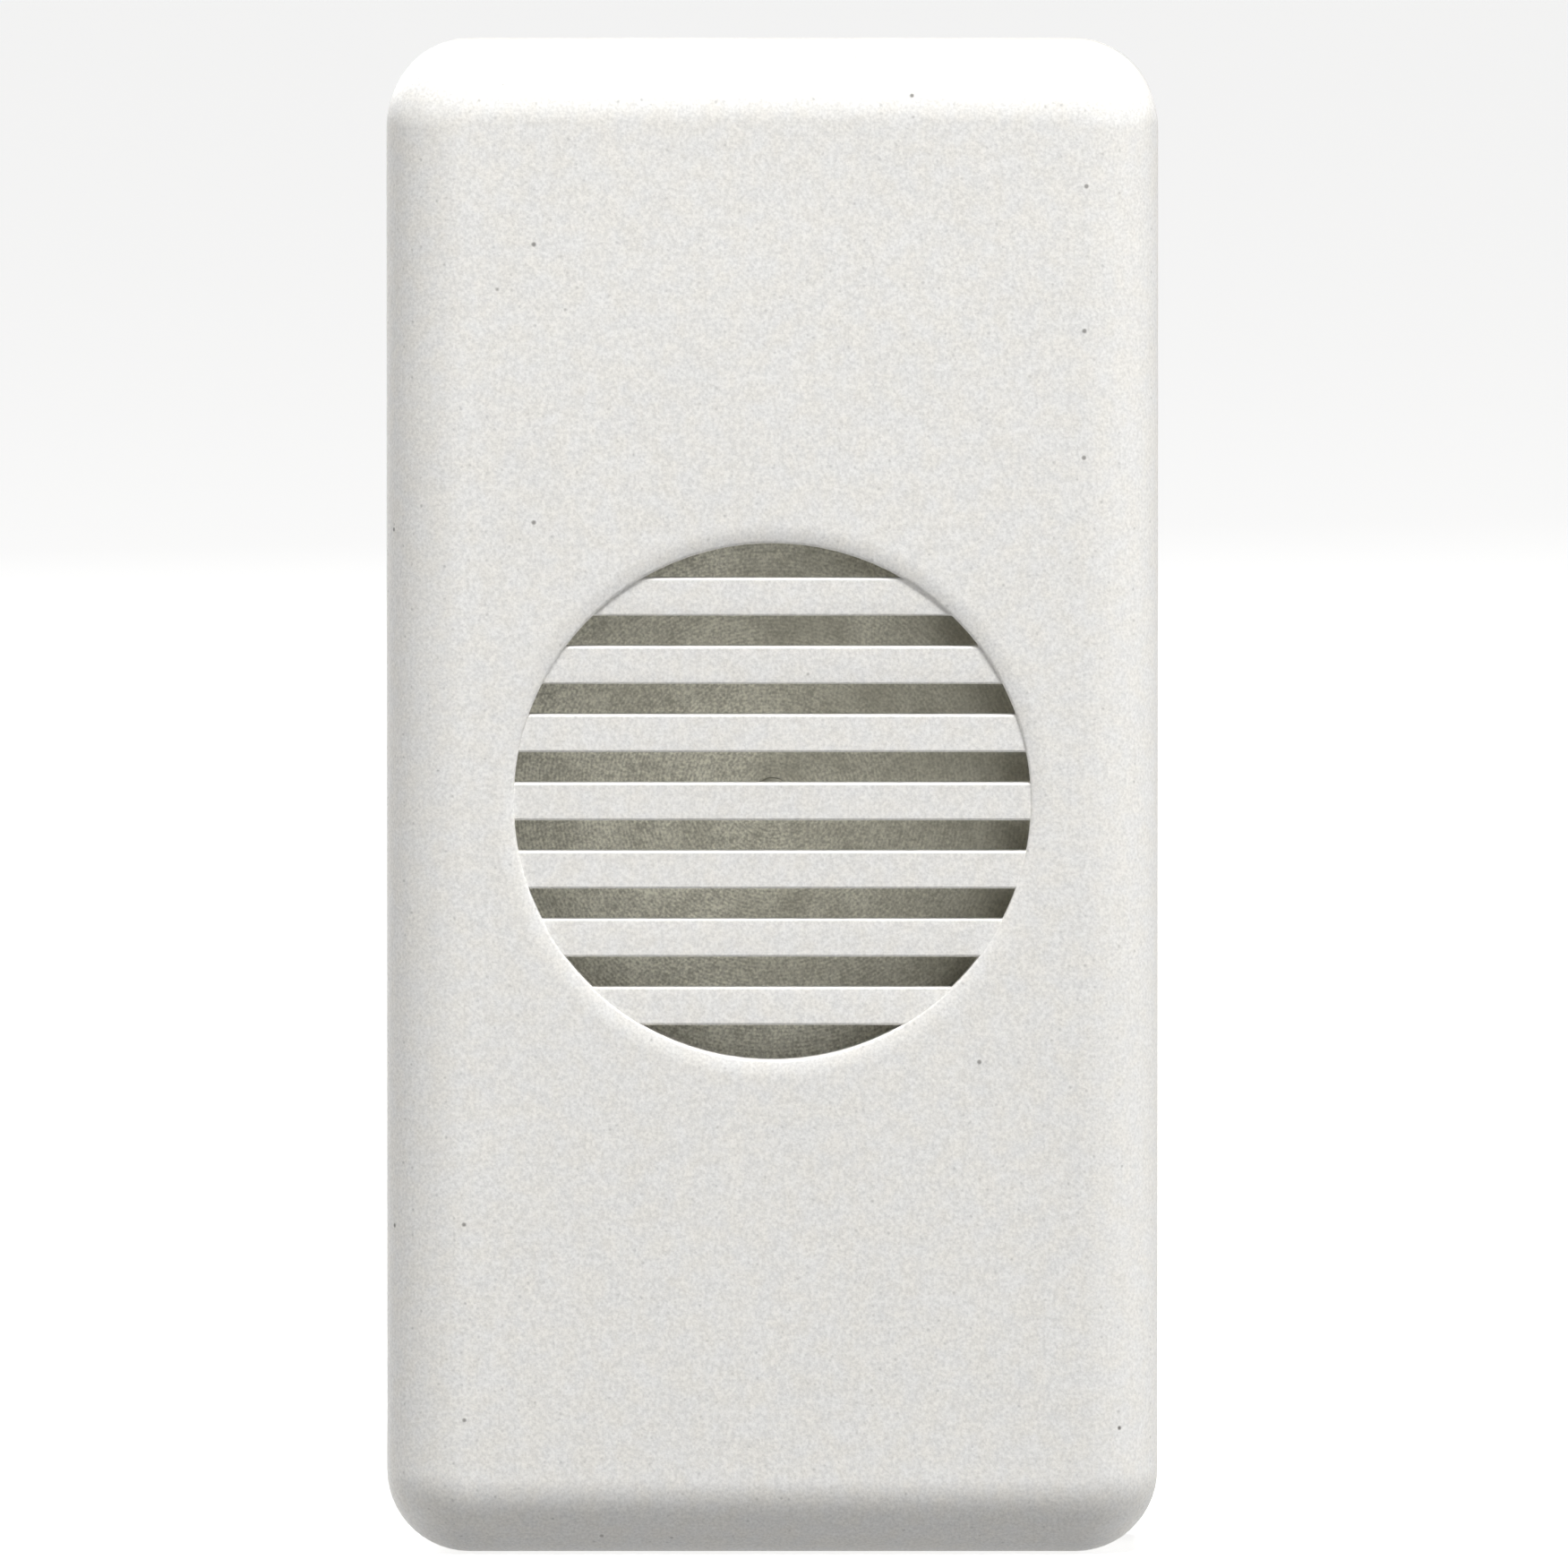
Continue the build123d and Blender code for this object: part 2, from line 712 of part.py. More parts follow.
def return_spring():
    """The tension spring from the yoke's lug to the armature's tail, hooked at both ends."""
    turns = round((lug_bottom - armature_top - 2 * spring_lead) / spring_pitch)
    coil_height = turns * spring_pitch
    base = (armature_top + lug_bottom - coil_height) / 2
    slope = spring_pitch / (2 * pi * spring_radius)
    scale = 1 / hypot(1, slope)

    def station(half_turn):
        angle = half_turn * pi
        place = Vector(
            spring_radius * cos(angle),
            spring_y + spring_radius * sin(angle),
            base + half_turn * spring_pitch / 2,
        )
        return place, Vector(-sin(angle), cos(angle), slope) * scale

    up = Vector(0, 0, 1)
    lower_eye = Vector(0, spring_y, base - spring_lead * 0.8)
    upper_eye = Vector(0, spring_y, base + coil_height + spring_lead * 0.8)
    place, way = station(0)
    edges = biarc(lower_eye, up, place, way)
    for half_turn in range(2 * turns):
        place, way = station(half_turn)
        next_place, next_way = station(half_turn + 1)
        edges += biarc(place, way, next_place, next_way)
    edges += biarc(next_place, next_way, upper_eye, up)

    hook = 2 * spring_hook_radius
    under_tail = Vector(0, spring_y, armature_bottom - 0.3)
    over_lug = Vector(0, spring_y, lug_bottom + yoke_thickness + 0.3)
    tail_end = Vector(0, spring_y - hook, armature_bottom)
    lug_end = Vector(0, spring_y - hook, lug_bottom + yoke_thickness)
    tail_turn = Vector(0, spring_y - hook, under_tail.Z)
    lug_turn = Vector(0, spring_y - hook, over_lug.Z)
    start = [
        Edge.make_line(tail_end, tail_turn),
        Edge.make_tangent_arc(tail_turn, Vector(0, 0, -1), under_tail),
        Edge.make_line(under_tail, lower_eye),
    ]
    finish = [
        Edge.make_line(upper_eye, over_lug),
        Edge.make_tangent_arc(over_lug, up, lug_turn),
        Edge.make_line(lug_turn, lug_end),
    ]
    path = Wire(start + edges + finish)
    gap = spring_pitch * scale - 2 * spring_wire_radius
    print(f"spring: {turns} turns, gap between turns {gap:.2f}, lug top {lug_bottom + yoke_thickness:.3f}")
    section = Plane(origin=tail_end, z_dir=(0, 0, -1)) * RegularPolygon(spring_wire_radius, wire_sides)
    return sweep(section, path)


# Terminals


def terminal_cage(x):
    """The square steel tube that the wire is clamped in."""
    half = cage_width / 2
    cage = block((x - half, x + half), (cage_front, cage_back), (cage_bottom, cage_top))
    cage = chamfer(cage.edges().filter_by(Axis.Y), cage_edge)
    inner = half - cage_wall
    cage -= block(
        (x - inner, x + inner),
        (cage_front - 1, cage_back + 1),
        (cage_bottom + cage_wall, cage_top - cage_wall),
    )
    hole = terminal_screw_radius + running_clearance
    return cage - rod_z(hole, (cage_top - cage_wall - 1, cage_top + 1), x, terminal_y)


def pressure_plate(x):
    """The plate that the screw pushes down on the wire."""
    half = cage_width / 2 - cage_wall - fit_clearance
    length = cage_length / 2 - 3 * fit_clearance
    plate = block(
        (x - half, x + half),
        (terminal_y - length, terminal_y + length),
        (plate_top - plate_thickness, plate_top),
    )
    plate = chamfer(plate.edges().filter_by(Axis.X).group_by(Axis.Z)[0], plate_thickness / 2)
    hole = swivel_radius + running_clearance
    return plate - rod_z(hole, (plate_top - plate_thickness - 1, plate_top + 1), x, terminal_y)


def terminal_screw(x):
    """The captive screw, its end swivelling in the pressure plate."""
    seat = screw_head_top - screw_head_height
    head = rod_z(screw_head_radius, (seat, screw_head_top), x, terminal_y)
    slot_half = screw_slot_width / 2
    head -= block(
        (x - screw_head_radius - 1, x + screw_head_radius + 1),
        (terminal_y - slot_half, terminal_y + slot_half),
        (screw_head_top - screw_slot_depth, screw_head_top + 1),
    )
    screw = head + rod_z(terminal_screw_radius, (plate_top, seat), x, terminal_y)
    return screw + rod_z(swivel_radius, (plate_top - plate_thickness, plate_top), x, terminal_y)


def contact_strip(x):
    """The brass strip under the wire, led out in front as a solder tag."""
    half = strip_width / 2
    strip = block(
        (x - half, x + half),
        (block_front - tag_length, cage_back - 2 * fit_clearance),
        (strip_top - strip_thickness, strip_top),
    )
    corners = strip.edges().filter_by(Axis.Z).group_by(Axis.Y)[0]
    return chamfer(corners, strip_corner)


def coil_lead(side):
    """A sleeved wire from the winding, up through the bobbin's notch and down to a solder tag."""
    x = side * (winding_radius + lead_radius * cos(pi / lead_sides))
    tag_x, tag_y = side * terminal_x, block_front - tag_length / 2
    crest = strip_top + lead_rise
    points = [
        (x, core_y, bobbin_top - lead_on_winding),
        (x, core_y, bobbin_top + 0.5),
        (x, core_y + 1.8, (bobbin_top + crest) / 2),
        ((x + tag_x) / 2, (core_y + tag_y) / 2 + 0.5, crest),
        (tag_x, tag_y, crest - 0.2),
        (tag_x, tag_y, strip_top),
    ]
    corners = [Vector(*point) for point in points]
    radii = []
    for before, here, after in zip(corners, corners[1:], corners[2:]):
        turn = radians((here - before).get_angle(after - here))
        shorter = min((here - before).length, (after - here).length)
        radii.append(0.45 * shorter / tan(turn / 2))
    print("lead bend radii", [round(radius, 1) for radius in radii])
    path = FilletPolyline(*points, radius=radii)
    section = Plane(origin=path @ 0, z_dir=path % 0) * RegularPolygon(lead_radius, lead_sides)
    lead = sweep(section, path)
    share = lead.volume / (path.length * section.area)
    print(f"lead volume over section times length {share:.4f}")
    return lead


# Rear cover


def rear_cover():
    """The plate that closes the housing and holds the terminals, with two wire funnels."""
    plate = rounded_block(body_width, body_height, body_corner_radius, (housing_back, body_back))
    plate = chamfer(plate.faces().sort_by(Axis.Y)[-1].edges(), rear_edge)

    outer_x = inner_half_width - fit_clearance
    outer_z = inner_half_height - fit_clearance
    depth = (housing_back - rear_spigot_height, housing_back)
    spigot = block((-outer_x, outer_x), depth, (-outer_z, cage_bottom - block_shelf - 0.3))
    inner_x, inner_z = outer_x - rear_spigot_wall, outer_z - rear_spigot_wall
    spigot -= block((-inner_x, inner_x), (depth[0] - 1, depth[1]), (-inner_z, cage_bottom))
    boss_room = rear_boss_half + 2 * fit_clearance
    spigot -= block((-boss_room, boss_room), (depth[0] - 1, depth[1]), (-outer_z - 1, -inner_z + 1))
    plate += spigot

    pad_half = cage_width / 2 - cage_wall - fit_clearance
    for x in (-terminal_x, terminal_x):
        plate += block(
            (x - pad_half, x + pad_half),
            (housing_back - pad_height, housing_back),
            (cage_bottom + cage_wall / 2, cage_top - cage_wall / 2),
        )
    for x in (-terminal_x, terminal_x):
        through = (housing_back - pad_height - 1, body_back + 1)
        plate -= rod_y(wire_bore_radius, through, x, wire_height)
        funnel = Cone(wire_bore_radius, wire_funnel_radius, wire_funnel_depth)
        mouth = Pos(x, body_back - wire_funnel_depth / 2, wire_height)
        plate -= mouth * Rot(-90, 0, 0) * funnel
    seat = body_back - rear_screw_head_height - rear_screw_sink
    for z in (-rear_screw_z, rear_screw_z):
        plate -= rod_y(rear_screw_radius + 1.5 * fit_clearance, (housing_back - 1, body_back), 0, z)
        plate -= rod_y(rear_screw_head_radius + 0.2, (seat, body_back + 1), 0, z)
    return plate


def rear_cover_screws():
    """Two screws that hold the rear cover to the housing."""
    seat = body_back - rear_screw_head_height - rear_screw_sink
    length = seat - (housing_back - rear_screw_length + 0.5)
    screw = slotted_screw(rear_screw_radius, rear_screw_head_radius, rear_screw_head_height, length)
    screws = [Pos(0, seat, z) * Rot(0, 0, 180) * screw for z in (-rear_screw_z, rear_screw_z)]
    return screws[0] + screws[1]


def all_parts():
    """Every piece under its node's name."""
    upper_latch, lower_latch = up_and_down(frame_latch())
    parts = {
        "front_cover": front_cover(),
        "housing": housing(),
        "rear_cover": rear_cover(),
        "rear_cover_screws": rear_cover_screws(),
        "frame_latch_upper": upper_latch,
        "frame_latch_lower": lower_latch,
        "gong": gong(),
        "gong_post": gong_post(),
        "yoke": yoke(),
        "yoke_screw": yoke_screw(),
        "core": core(),
        "coil_bobbin": coil_bobbin(),
        "coil_winding": coil_winding(),
        "armature": armature(),
        "hammer_arm": hammer_arm(),
        "arm_rivets": arm_rivets(),
        "hammer_head": hammer_head(),
        "arm_rest_pad": arm_rest_pad(),
        "return_spring": return_spring(),
    }
    for name, side in (("left", -1), ("right", 1)):
        x = side * terminal_x
        parts[f"terminal_cage_{name}"] = terminal_cage(x)
        parts[f"pressure_plate_{name}"] = pressure_plate(x)
        parts[f"terminal_screw_{name}"] = terminal_screw(x)
        parts[f"contact_strip_{name}"] = contact_strip(x)
        parts[f"coil_lead_{name}"] = coil_lead(side)
    return parts


os.makedirs("parts", exist_ok=True)
for node, shape in all_parts().items():
    export_step(shape, f"parts/{node}.step")
print(f"depth behind the frame {body_back:.2f}, coil length {bobbin_top - bobbin_bottom:.2f}")
print(f"pivot y {pivot_y:.3f} z {armature_top:.3f}, hammer y {hammer_y:.3f}")
print(f"latch root y {latch_start + latch_length:.3f} z {inner_half_height:.3f}")
print(f"terminal x {terminal_x:.3f} y {terminal_y:.3f}, wire height {wire_height:.3f}")
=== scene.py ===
import json
import math

import bmesh
import bpy
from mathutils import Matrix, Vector

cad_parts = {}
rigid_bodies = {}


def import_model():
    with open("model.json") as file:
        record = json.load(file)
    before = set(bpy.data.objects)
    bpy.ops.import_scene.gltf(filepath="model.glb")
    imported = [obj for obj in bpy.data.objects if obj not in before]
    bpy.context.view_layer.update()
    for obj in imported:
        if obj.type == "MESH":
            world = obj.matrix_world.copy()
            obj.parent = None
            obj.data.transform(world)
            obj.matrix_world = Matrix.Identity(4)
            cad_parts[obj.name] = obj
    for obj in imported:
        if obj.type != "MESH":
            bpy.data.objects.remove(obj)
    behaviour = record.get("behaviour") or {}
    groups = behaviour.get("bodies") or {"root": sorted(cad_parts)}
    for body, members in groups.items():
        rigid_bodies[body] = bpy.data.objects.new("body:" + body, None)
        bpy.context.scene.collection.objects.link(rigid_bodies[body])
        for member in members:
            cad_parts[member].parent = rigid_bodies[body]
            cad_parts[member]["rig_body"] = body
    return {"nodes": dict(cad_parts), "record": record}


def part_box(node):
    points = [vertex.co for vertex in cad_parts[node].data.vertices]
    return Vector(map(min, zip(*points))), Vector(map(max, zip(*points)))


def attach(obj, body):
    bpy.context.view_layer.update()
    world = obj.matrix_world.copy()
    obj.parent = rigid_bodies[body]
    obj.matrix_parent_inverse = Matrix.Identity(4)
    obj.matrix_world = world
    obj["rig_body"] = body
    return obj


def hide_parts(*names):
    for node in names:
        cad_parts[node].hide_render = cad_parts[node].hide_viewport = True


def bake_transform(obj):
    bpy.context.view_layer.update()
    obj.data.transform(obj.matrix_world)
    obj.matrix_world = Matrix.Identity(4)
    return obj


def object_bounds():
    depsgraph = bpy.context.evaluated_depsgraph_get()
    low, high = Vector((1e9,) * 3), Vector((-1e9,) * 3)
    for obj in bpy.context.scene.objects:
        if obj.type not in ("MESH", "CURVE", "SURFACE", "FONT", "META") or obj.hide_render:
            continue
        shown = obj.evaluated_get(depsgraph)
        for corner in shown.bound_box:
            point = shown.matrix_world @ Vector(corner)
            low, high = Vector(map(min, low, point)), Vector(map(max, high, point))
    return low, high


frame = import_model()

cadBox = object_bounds()
nodes = frame["nodes"]
print("frame loaded:", len(nodes), "nodes")


# Shader helpers


def makeGroup(name, inputs, outputs):
    group = bpy.data.node_groups.new(name, "ShaderNodeTree")
    for label, kind, value in inputs:
        socket = group.interface.new_socket(name=label, in_out="INPUT", socket_type=kind)
        socket.default_value = value
    for label, kind in outputs:
        group.interface.new_socket(name=label, in_out="OUTPUT", socket_type=kind)
    return group, group.nodes.new("NodeGroupInput"), group.nodes.new("NodeGroupOutput")


def addNode(tree, kind, **settings):
    node = tree.nodes.new(kind)
    for key, value in settings.items():
        setattr(node, key, value)
    return node


def fillSocket(tree, socket, value):
    # another node's output is linked, a number or a colour is set
    if hasattr(value, "is_output"):
        tree.links.new(value, socket)
    elif isinstance(value, (int, float)):
        socket.default_value = value
    else:
        socket.default_value = (*value, 1.0)


def mathNode(tree, operation, first, second=None, clamp=False):
    node = addNode(tree, "ShaderNodeMath", operation=operation, use_clamp=clamp)
    fillSocket(tree, node.inputs[0], first)
    if second is not None:
        fillSocket(tree, node.inputs[1], second)
    return node.outputs[0]


def noiseNode(tree, vector, scale, detail=2.0, rough=0.5):
    node = addNode(tree, "ShaderNodeTexNoise")
    node.inputs["Detail"].default_value = detail
    node.inputs["Roughness"].default_value = rough
    tree.links.new(vector, node.inputs["Vector"])
    fillSocket(tree, node.inputs["Scale"], scale)
    return node.outputs["Fac"]


def mapRange(tree, value, low, high, newLow, newHigh):
    node = addNode(tree, "ShaderNodeMapRange")
    tree.links.new(value, node.inputs["Value"])
    limits = {"From Min": low, "From Max": high, "To Min": newLow, "To Max": newHigh}
    for label, number in limits.items():
        fillSocket(tree, node.inputs[label], number)
    return node.outputs["Result"]


def mixColour(tree, factor, first, second, blend="MIX"):
    node = addNode(tree, "ShaderNodeMix", data_type="RGBA", blend_type=blend)
    colours = [socket for socket in node.inputs if socket.type == "RGBA"]
    for socket, value in zip((node.inputs[0], *colours), (factor, first, second)):
        fillSocket(tree, socket, value)
    return [socket for socket in node.outputs if socket.type == "RGBA"][0]


def voronoiDots(tree, place, scale, share, near, far):
    # soft round dots in some of the cells, and a second random number for each cell
    cells = addNode(tree, "ShaderNodeTexVoronoi", feature="F1")
    tree.links.new(place, cells.inputs["Vector"])
    cells.inputs["Scale"].default_value = scale
    pick = addNode(tree, "ShaderNodeSeparateColor")
    tree.links.new(cells.outputs["Color"], pick.inputs["Color"])
    chosen = mathNode(tree, "LESS_THAN", pick.outputs["Red"], share)
    dot = mapRange(tree, cells.outputs["Distance"], near, far, 1.0, 0.0)
    return mathNode(tree, "MULTIPLY", chosen, dot, clamp=True), pick.outputs["Green"]


# Effects that several finishes share. Each is one group.

grainLook = {
    "grainSpan": (0.3, 0.7),
    "cloudScale": 260.0, "cloudDrift": 0.012, "roughness": (0.50, 0.60),
    "warmthScale": 1400.0, "warmthSpan": (0.35, 0.65),
    "warm": (1.006, 1.0, 0.984), "cool": (0.992, 1.0, 1.012),
    "pitScale": 4200.0, "pitShare": 0.3, "pitEdge": (0.05, 0.27),
    "speckScale": 1000.0, "speckEdge": (0.04, 0.085), "faintestSpeck": 0.25,
    "bumpDepth": 0.00003,
}


def makeMouldedGrain():
    # spark-eroded grain with shallow pits, a slight warm and cool drift and a few dark specks
    group, start, end = makeGroup(
        "mouldedGrain",
        [
            ("Colour", "NodeSocketColor", (0.8, 0.8, 0.8, 1.0)),
            ("Speck Colour", "NodeSocketColor", (0.2, 0.2, 0.2, 1.0)),
            ("Grain Scale", "NodeSocketFloat", 9000.0),
            ("Grain Depth", "NodeSocketFloat", 0.06),
            ("Pit Depth", "NodeSocketFloat", 0.1),
            ("Speck Share", "NodeSocketFloat", 0.05),
        ],
        [
            ("Colour", "NodeSocketColor"),
            ("Height", "NodeSocketFloat"),
            ("Roughness", "NodeSocketFloat"),
        ],
    )
    place = addNode(group, "ShaderNodeTexCoord").outputs["Object"]
    fine = noiseNode(group, place, start.outputs["Grain Scale"], detail=2.0, rough=0.6)
    cloud = noiseNode(group, place, grainLook["cloudScale"], detail=3.0, rough=0.55)
    warmth = noiseNode(group, place, grainLook["warmthScale"])
    pits, pitStrength = voronoiDots(
        group, place, grainLook["pitScale"], grainLook["pitShare"], *grainLook["pitEdge"]
    )
    specks, speckStrength = voronoiDots(
        group, place, grainLook["speckScale"], start.outputs["Speck Share"],
        *grainLook["speckEdge"],
    )

    grain = mapRange(group, fine, *grainLook["grainSpan"], -1.0, 1.0)
    shade = mathNode(group, "MULTIPLY", grain, start.outputs["Grain Depth"])
    most = grainLook["cloudDrift"]
    drift = mapRange(group, cloud, *grainLook["grainSpan"], -most, most)
    pitShade = mathNode(group, "MULTIPLY", pits, pitStrength)
    pitShade = mathNode(group, "MULTIPLY", pitShade, start.outputs["Pit Depth"])
    level = mathNode(group, "ADD", mathNode(group, "ADD", shade, drift), 1.0)
    level = mathNode(group, "SUBTRACT", level, pitShade)
    tone = addNode(group, "ShaderNodeHueSaturation")
    group.links.new(start.outputs["Colour"], tone.inputs["Color"])
    group.links.new(level, tone.inputs["Value"])

    coolShare = mapRange(group, warmth, *grainLook["warmthSpan"], 0.0, 1.0)
    tint = mixColour(group, coolShare, grainLook["warm"], grainLook["cool"])
    tinted = mixColour(group, 1.0, tone.outputs["Color"], tint, "MULTIPLY")
    strength = mapRange(group, speckStrength, 0.0, 1.0, grainLook["faintestSpeck"], 1.0)
    speckShade = mathNode(group, "MULTIPLY", specks, strength)
    colour = mixColour(group, speckShade, tinted, start.outputs["Speck Colour"])
    roughness = mapRange(group, cloud, *grainLook["grainSpan"], *grainLook["roughness"])
    group.links.new(colour, end.inputs["Colour"])
    group.links.new(mathNode(group, "SUBTRACT", fine, pitShade), end.inputs["Height"])
    group.links.new(roughness, end.inputs["Roughness"])
    return group


ringLook = {
    "wobbleScale": 500.0, "wobble": 2.5, "gritScale": 12000.0, "gritShare": 0.7,
    "blotchScale": 900.0, "blotchShare": 0.3, "shadeSpan": (0.36, 0.64),
}


def makeTurnedRings():
    # fine tool marks round an axis: Across is 1 on the two directions that the radius lies in
    group, start, end = makeGroup(
        "turnedRings",
        [
            ("Centre", "NodeSocketVector", (0.0, 0.0, 0.0)),
            ("Across", "NodeSocketVector", (1.0, 1.0, 0.0)),
            ("Rings Per Metre", "NodeSocketFloat", 9000.0),
            ("Ring Share", "NodeSocketFloat", 0.12),
        ],
        [("Height", "NodeSocketFloat"), ("Shade", "NodeSocketFloat")],
    )
    place = addNode(group, "ShaderNodeTexCoord").outputs["Object"]
    away = addNode(group, "ShaderNodeVectorMath", operation="SUBTRACT")
    group.links.new(place, away.inputs[0])
    group.links.new(start.outputs["Centre"], away.inputs[1])
    flat = addNode(group, "ShaderNodeVectorMath", operation="MULTIPLY")
    group.links.new(away.outputs["Vector"], flat.inputs[0])
    group.links.new(start.outputs["Across"], flat.inputs[1])
    radius = addNode(group, "ShaderNodeVectorMath", operation="LENGTH")
    group.links.new(flat.outputs["Vector"], radius.inputs[0])

    waves = noiseNode(group, place, ringLook["wobbleScale"])
    wobble = mathNode(group, "MULTIPLY", waves, ringLook["wobble"])
    rings = start.outputs["Rings Per Metre"]
    turns = mathNode(group, "MULTIPLY", radius.outputs["Value"], rings)
    phase = mathNode(group, "ADD", mathNode(group, "MULTIPLY", turns, 2 * math.pi), wobble)
    ring = mathNode(group, "SINE", phase)
    cut = mathNode(group, "MULTIPLY", ring, start.outputs["Ring Share"])
    grit = noiseNode(group, place, ringLook["gritScale"], detail=2.0, rough=0.6)
    blotch = noiseNode(group, place, ringLook["blotchScale"], detail=3.0, rough=0.6)
    mixed = mathNode(
        group, "ADD", mathNode(group, "MULTIPLY", blotch, ringLook["blotchShare"]),
        mathNode(group, "MULTIPLY", grit, ringLook["gritShare"]),
    )
    group.links.new(mathNode(group, "ADD", cut, grit), end.inputs["Height"])
    group.links.new(mathNode(group, "ADD", cut, mixed), end.inputs["Shade"])
    return group


tarnishLook = {"patchSpan": (0.35, 0.68), "gritScale": 9000.0, "bumpDepth": 0.00002}


def makeTarnishAndShadeSlope():
    # two tones of one metal in soft patches, rougher where it is dull; the slope input adds
    # painted shade that darkens the colour towards one side
    group, start, end = makeGroup(
        "tarnish",
        [
            ("Bright", "NodeSocketColor", (0.7, 0.7, 0.7, 1.0)),
            ("Dull", "NodeSocketColor", (0.4, 0.4, 0.4, 1.0)),
            ("Patch Scale", "NodeSocketFloat", 700.0),
            ("Amount", "NodeSocketFloat", 0.6),
            ("Smooth", "NodeSocketFloat", 0.25),
            ("Rough", "NodeSocketFloat", 0.55),
            ("Lean", "NodeSocketVector", (0.0, 0.0, 0.0)),
        ],
        [
            ("Colour", "NodeSocketColor"),
            ("Roughness", "NodeSocketFloat"),
            ("Height", "NodeSocketFloat"),
        ],
    )
    place = addNode(group, "ShaderNodeTexCoord").outputs["Object"]
    patch = noiseNode(group, place, start.outputs["Patch Scale"], detail=4.0, rough=0.6)
    patches = mapRange(group, patch, *tarnishLook["patchSpan"], 0.0, 1.0)
    patches = mathNode(group, "MULTIPLY", patches, start.outputs["Amount"])
    # painted shade: the dot product with the slope input darkens and roughens the metal towards
    # one side, standing in for light falling off there
    paintedShadeSlope = addNode(group, "ShaderNodeVectorMath", operation="DOT_PRODUCT")
    group.links.new(place, paintedShadeSlope.inputs[0])
    group.links.new(start.outputs["Lean"], paintedShadeSlope.inputs[1])
    tarnishAndPaintedShade = mathNode(group, "ADD", patches, paintedShadeSlope.outputs["Value"], clamp=True)
    colour = mixColour(group, tarnishAndPaintedShade, start.outputs["Bright"], start.outputs["Dull"])
    smooth, rough = start.outputs["Smooth"], start.outputs["Rough"]
    roughness = mapRange(group, tarnishAndPaintedShade, 0.0, 1.0, smooth, rough)
    group.links.new(colour, end.inputs["Colour"])
    group.links.new(roughness, end.inputs["Roughness"])
    group.links.new(noiseNode(group, place, tarnishLook["gritScale"]), end.inputs["Height"])
    return group


effects = {
    "mouldedGrain": makeMouldedGrain(),
    "turnedRings": makeTurnedRings(),
    "tarnish": makeTarnishAndShadeSlope(),
}
print("effects:", ", ".join(effects))


# Finishes


def newMaterial(name):
    material = bpy.data.materials.new(name)
    material.use_nodes = True
    tree = material.node_tree
    return material, tree, tree.nodes["Principled BSDF"]


def addEffect(tree, name, **values):
    node = addNode(tree, "ShaderNodeGroup", node_tree=effects[name])
    for label, value in values.items():
        socket = node.inputs[label.replace("_", " ")]
        socket.default_value = (*value, 1.0) if socket.type == "RGBA" else value
    return node


def addBump(tree, shader, height, strength, distance):
    bump = addNode(tree, "ShaderNodeBump")
    bump.inputs["Strength"].default_value = strength
    bump.inputs["Distance"].default_value = distance
    tree.links.new(height, bump.inputs["Height"])
    tree.links.new(bump.outputs["Normal"], shader.inputs["Normal"])


def mouldedPlastic(
    name, colour, speckColour, grainScale, grainDepth, pitDepth, speckShare, bump
):
    material, tree, shader = newMaterial(name)
    grain = addEffect(
        tree, "mouldedGrain", Colour=colour, Speck_Colour=speckColour, Grain_Scale=grainScale,
        Grain_Depth=grainDepth, Pit_Depth=pitDepth, Speck_Share=speckShare,
    )
    tree.links.new(grain.outputs["Colour"], shader.inputs["Base Color"])
    tree.links.new(grain.outputs["Roughness"], shader.inputs["Roughness"])
    shader.inputs["IOR"].default_value = 1.5
    shader.inputs["Specular IOR Level"].default_value = 0.4
    addBump(tree, shader, grain.outputs["Height"], bump, grainLook["bumpDepth"])
    return material


def toneTip(tree, colour, tip):
    # the piece is coloured towards a given tone within a short distance of a given point
    place = addNode(tree, "ShaderNodeTexCoord").outputs["Object"]
    away = addNode(tree, "ShaderNodeVectorMath", operation="DISTANCE")
    tree.links.new(place, away.inputs[0])
    away.inputs[1].default_value = tip["place"]
    near = mapRange(tree, away.outputs["Value"], tip["fadeStart"], tip["fadeEnd"], 1.0, 0.0)
    return mixColour(tree, near, colour, tip["colour"])


def tarnishedMetal(
    name, bright, dull, patchScale, amount, smooth, rough, bump,
    rings=None, paintedShadeSlope=(0.0, 0.0, 0.0), tip=None,
):
    material, tree, shader = newMaterial(name)
    metal = addEffect(
        tree, "tarnish", Bright=bright, Dull=dull, Patch_Scale=patchScale,
        Amount=amount, Smooth=smooth, Rough=rough, Lean=paintedShadeSlope,
    )
    colour, height = metal.outputs["Colour"], metal.outputs["Height"]
    if rings:
        turned = addEffect(tree, "turnedRings", **rings)
        ringShade = mapRange(tree, turned.outputs["Shade"], *ringLook["shadeSpan"], 0.0, 1.0)
        colour, height = mixColour(tree, ringShade, colour, dull), turned.outputs["Height"]
    if tip:
        colour = toneTip(tree, colour, tip)
    shader.inputs["Metallic"].default_value = 1.0
    tree.links.new(metal.outputs["Roughness"], shader.inputs["Roughness"])
    tree.links.new(colour, shader.inputs["Base Color"])
    addBump(tree, shader, height, bump, tarnishLook["bumpDepth"])
    return material


